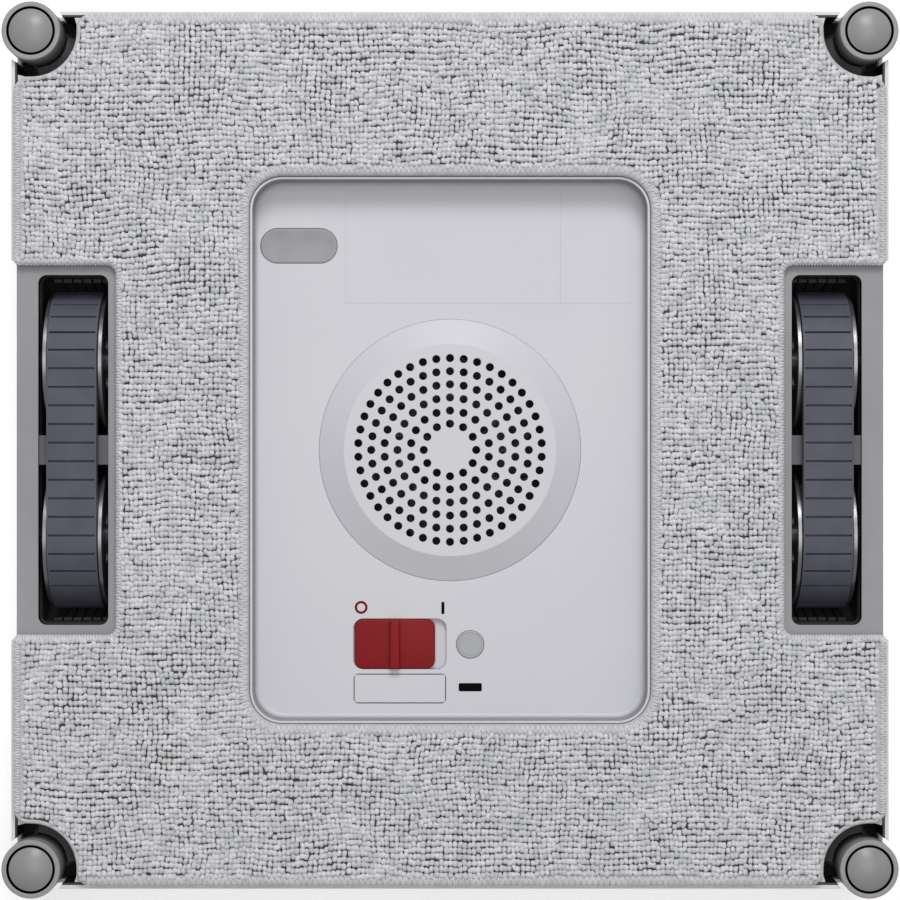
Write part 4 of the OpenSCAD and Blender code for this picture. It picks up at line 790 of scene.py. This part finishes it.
for corner, (signX, signY) in cornerSigns.items():
    place = (signX * roller["axis"] * mm, signY * roller["axis"] * mm)
    bm = bmesh.new()
    turnedShape(bm, rollerProfile(roller), place)
    piece = addPiece("roller_" + corner, bm, "rollerGrey", "roller_" + corner)
    sharpen(piece, 40)
    middle = Vector(place) / mm
    # The roller's inside within the dish is painted near black as the shade in the groove round the
    # cap
    repaint(piece, "grooveShadeBlack", lambda c, n: (c.xy - middle).length < roller["dish"] + 0.02)
    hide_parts("corner_roller_" + corner)
    bm = bmesh.new()
    turnedShape(bm, capProfile(cap), place, closed=False)
    piece = addPiece("sensor_cap_" + corner, bm, "domeGrey", "sensor_" + corner)
    sharpen(piece, 40)
    # The cap's side wall is painted near black as the same groove shade
    repaint(piece, "grooveShadeBlack", lambda c, n: abs(n.z) < 0.3 and c.z > cap["low"])
    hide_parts("edge_sensor_" + corner)

    # Spring under the cap, a copy of the CAD's spring with a mesh of its own; the real spring
    # shortens as the cap is pressed, but this copy keeps its length
    bm = bmesh.new()
    bm.from_mesh(cadNodes["sensor_spring_" + corner].data)
    bmesh.ops.remove_doubles(bm, verts=bm.verts, dist=0.005 * mm)
    piece = addPiece("spring_" + corner, bm, "steel", "chassis")
    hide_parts("sensor_spring_" + corner)
    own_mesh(piece)
print("rollers made")

# Red slider of the power switch
slider = dict(middle=(-17.255, -60.7), size=(25.15, 15.43), low=40.4, top=42.4, corner=2.75,
              edge=0.45, ridge=(3.2, 15.43), ridgeLow=40.6, ridgeTop=45.0, ridgeCorner=0.8,
              ridgeEdge=0.55, stem=(4, 3), stemLow=36.4, stemTop=40.5, stemCorner=0.2)
bm = bmesh.new()
topFaces = roundedBlock(bm, slider["middle"], slider["size"], slider["low"], slider["top"],
                        slider["corner"])
softenTop(bm, topFaces, slider["edge"])
ridge = bmesh.new()
topFaces = roundedBlock(ridge, slider["middle"], slider["ridge"], slider["ridgeLow"],
                        slider["ridgeTop"], slider["ridgeCorner"], segments=4)
softenTop(ridge, topFaces, slider["ridgeEdge"], 4)
joinPart(bm, ridge)
stem = bmesh.new()
roundedBlock(stem, slider["middle"], slider["stem"], slider["stemLow"], slider["stemTop"],
             slider["stemCorner"], segments=2)
joinPart(bm, stem)
piece = addPiece("switch_slider", bm, "redPlastic", "power_switch")
sharpen(piece, 40)
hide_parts("power_switch_slider")

# Round button beside the switch
button = dict(middle=(6.33, -60.86), radius=4.32, top=42.4, edge=0.3,
              face=[(0, -0.1), (3.1, -0.06), (3.42, -0.05), (3.6, -0.12), (3.75, 0)],
              rim=5.22, rimTop=39.95, rimLow=38.95, stem=1.6, stemLow=36.7)
bm = bmesh.new()
edge = button["edge"]
profile = (
    [(r, button["top"] + z) for r, z in button["face"]]
    + roundCorner((button["radius"] - edge, button["top"] - edge), edge, 90, 0)
    + [(button["radius"], button["rimTop"]), (button["rim"], button["rimTop"]),
       (button["rim"], button["rimLow"]), (button["stem"], button["rimLow"]),
       (button["stem"], button["stemLow"]), (0, button["stemLow"])]
)
turnedShape(bm, profile, (button["middle"][0] * mm, button["middle"][1] * mm), steps=64,
            closed=False)
piece = addPiece("round_button", bm, "buttonGrey", "reset_button")
sharpen(piece, 30)
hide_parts("reset_button")

# Rubber cover over the service port, with a dished middle
plug = dict(middle=(-47.3, 63.9), size=(24, 10.87), low=38.0, top=42.0, corner=5.2, edge=0.35,
            rim=0.55, slope=1.3, deep=0.45)
bm = bmesh.new()
topFaces = roundedBlock(bm, plug["middle"], plug["size"], plug["low"], plug["top"],
                        plug["corner"], segments=16)
bmesh.ops.inset_region(bm, faces=topFaces, thickness=(plug["edge"] + plug["rim"]) * mm)
bmesh.ops.inset_region(bm, faces=topFaces, thickness=plug["slope"] * mm, depth=-plug["deep"] * mm)
rim = [e for e in bm.edges if all(abs(v.co.z - plug["top"] * mm) < 0.01 * mm for v in e.verts)
       and any(abs(f.normal.z) < 0.5 for f in e.link_faces)]
roundEdges(bm, rim, plug["edge"], 3)
piece = addPiece("port_plug", bm, "plugRubber", "port_cover")
sharpen(piece, 40)
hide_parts("port_cover")

# Start button in the back, with a shallow dish
start = dict(middle=(0, 62), radius=11, low=0.3, edge=0.6,
             face=[(0, 0.5), (4, 0.435), (7, 0.275), (9, 0.09), (10.4, 0)],
             rim=12.3, rimLow=2.25, top=3.2, stem=1.6, stemTop=5.6)
bm = bmesh.new()
edge = start["edge"]
profile = (
    [(r, start["low"] + z) for r, z in start["face"]]
    + roundCorner((start["radius"] - edge, start["low"] + edge), edge, -90, 0)
    + [(start["radius"], start["rimLow"]), (start["rim"], start["rimLow"]),
       (start["rim"], start["top"]), (start["stem"], start["top"]),
       (start["stem"], start["stemTop"]), (0, start["stemTop"])]
)
turnedShape(bm, profile, (start["middle"][0] * mm, start["middle"][1] * mm), closed=False)
piece = addPiece("start_cap", bm, "buttonWhite", "start_button")
sharpen(piece, 40)
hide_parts("start_button")

# Printed marks beside the switch: a ring for off and a bar for on
marks = dict(ring=(-27.82, -49.27), outer=2.02, inner=1.28, bar=(-2.22, -49.46),
             barSize=(0.95, 3.76), barCorner=0.12, low=41.99, top=42.03)
bm = bmesh.new()
turnedShape(bm, [(marks["inner"], marks["low"]), (marks["outer"], marks["low"]),
                 (marks["outer"], marks["top"]), (marks["inner"], marks["top"])],
            (marks["ring"][0] * mm, marks["ring"][1] * mm), steps=48)
sharpen(addPiece("mark_off", bm, "inkRed", "chassis"), 30)
bm = bmesh.new()
roundedBlock(bm, marks["bar"], marks["barSize"], marks["low"], marks["top"], marks["barCorner"],
             segments=3)
sharpen(addPiece("mark_on", bm, "inkBlack", "chassis"), 30)


# Thin frame with round corners, open in the middle and below
def flatFrame(middle, size, look, segments=8):
    bm = bmesh.new()
    topFaces = roundedBlock(bm, middle, size, look["low"], look["top"], look["corner"], segments)
    bmesh.ops.inset_region(bm, faces=topFaces, thickness=look["line"] * mm)
    below = [f for f in bm.faces if f.normal.z < -0.9]
    bmesh.ops.delete(bm, geom=topFaces + below, context="FACES")
    return bm


# Dark line in the groove round the blank label, painted as the groove's shade
label = dict(middle=(-15.7, -74.69), size=(28.9, 9.3), line=0.3, low=41.81, top=41.9, corner=1.4)
bm = flatFrame(label["middle"], label["size"], label)
sharpen(addPiece("label_line", bm, "labelGrooveShadeGrey", "chassis"), 30)

# Faint raised frames moulded into the window's floor
relief = dict(frames=[((0.95, 63.1), (67.3, 34.45)), ((45.55, 63.1), (21.9, 34.45))], line=0.3,
              low=41.98, top=42.05, corner=0.8)
bm = bmesh.new()
for middle, size in relief["frames"]:
    joinPart(bm, flatFrame(middle, size, relief, segments=4))
sharpen(addPiece("relief_frames", bm, "reliefLilac", "chassis"), 30)
print("controls made")

# Floor, lights and camera
studio = dict(floorSize=4.0, floorDrop=0.0002, floorShade=0.9, floorGlow=0.36, skyGlow=0.30,
              keyPower=9.6, keySize=0.6, keyPlace=(0.06, 1.0, 1.12), topPower=10.4, topSize=1.5,
              topPlace=(0.12, 0.1, 1.9), cameraHeight=0.7934, lens=96.0)  # metres and watts
bm = bmesh.new()
bmesh.ops.create_grid(bm, x_segments=2, y_segments=2, size=studio["floorSize"] / 2)
floorMesh = finishMesh("floor", bm)
floor = bpy.data.objects.new("floor", floorMesh)
floor.location.z = -studio["floorDrop"]
bpy.context.scene.collection.objects.link(floor)
floorPaint = bpy.data.materials.new("floorWhite")
floorPaint.use_nodes = True
floorShader = floorPaint.node_tree.nodes["Principled BSDF"]
floorShader.inputs["Base Color"].default_value = [studio["floorShade"]] * 3 + [1]
floorShader.inputs["Roughness"].default_value = 0.9
floorShader.inputs["Emission Color"].default_value = (1, 1, 1, 1)
floorShader.inputs["Emission Strength"].default_value = studio["floorGlow"]
floorMesh.materials.append(floorPaint)

world = bpy.data.worlds.new("studio")
bpy.context.scene.world = world
world.use_nodes = True
sky = world.node_tree.nodes["Background"]
sky.inputs["Color"].default_value = (1, 1, 1, 1)
sky.inputs["Strength"].default_value = studio["skyGlow"]


def softLight(name, place, size, power):
    light = bpy.data.lights.new(name, "AREA")
    light.shape = "DISK"
    light.size = size
    light.energy = power
    lamp = bpy.data.objects.new(name, light)
    lamp.location = place
    lamp.rotation_euler = (-Vector(place)).to_track_quat("-Z", "Y").to_euler()
    bpy.context.scene.collection.objects.link(lamp)


softLight("key", studio["keyPlace"], studio["keySize"], studio["keyPower"])
softLight("overhead", studio["topPlace"], studio["topSize"], studio["topPower"])

camera = bpy.data.cameras.new("camera")
camera.lens = studio["lens"]
cameraObject = bpy.data.objects.new("camera", camera)
cameraObject.location = (0, 0, studio["cameraHeight"])
bpy.context.scene.collection.objects.link(cameraObject)
bpy.context.scene.camera = cameraObject
bpy.context.scene.view_settings.view_transform = "Standard"
print("studio ready")
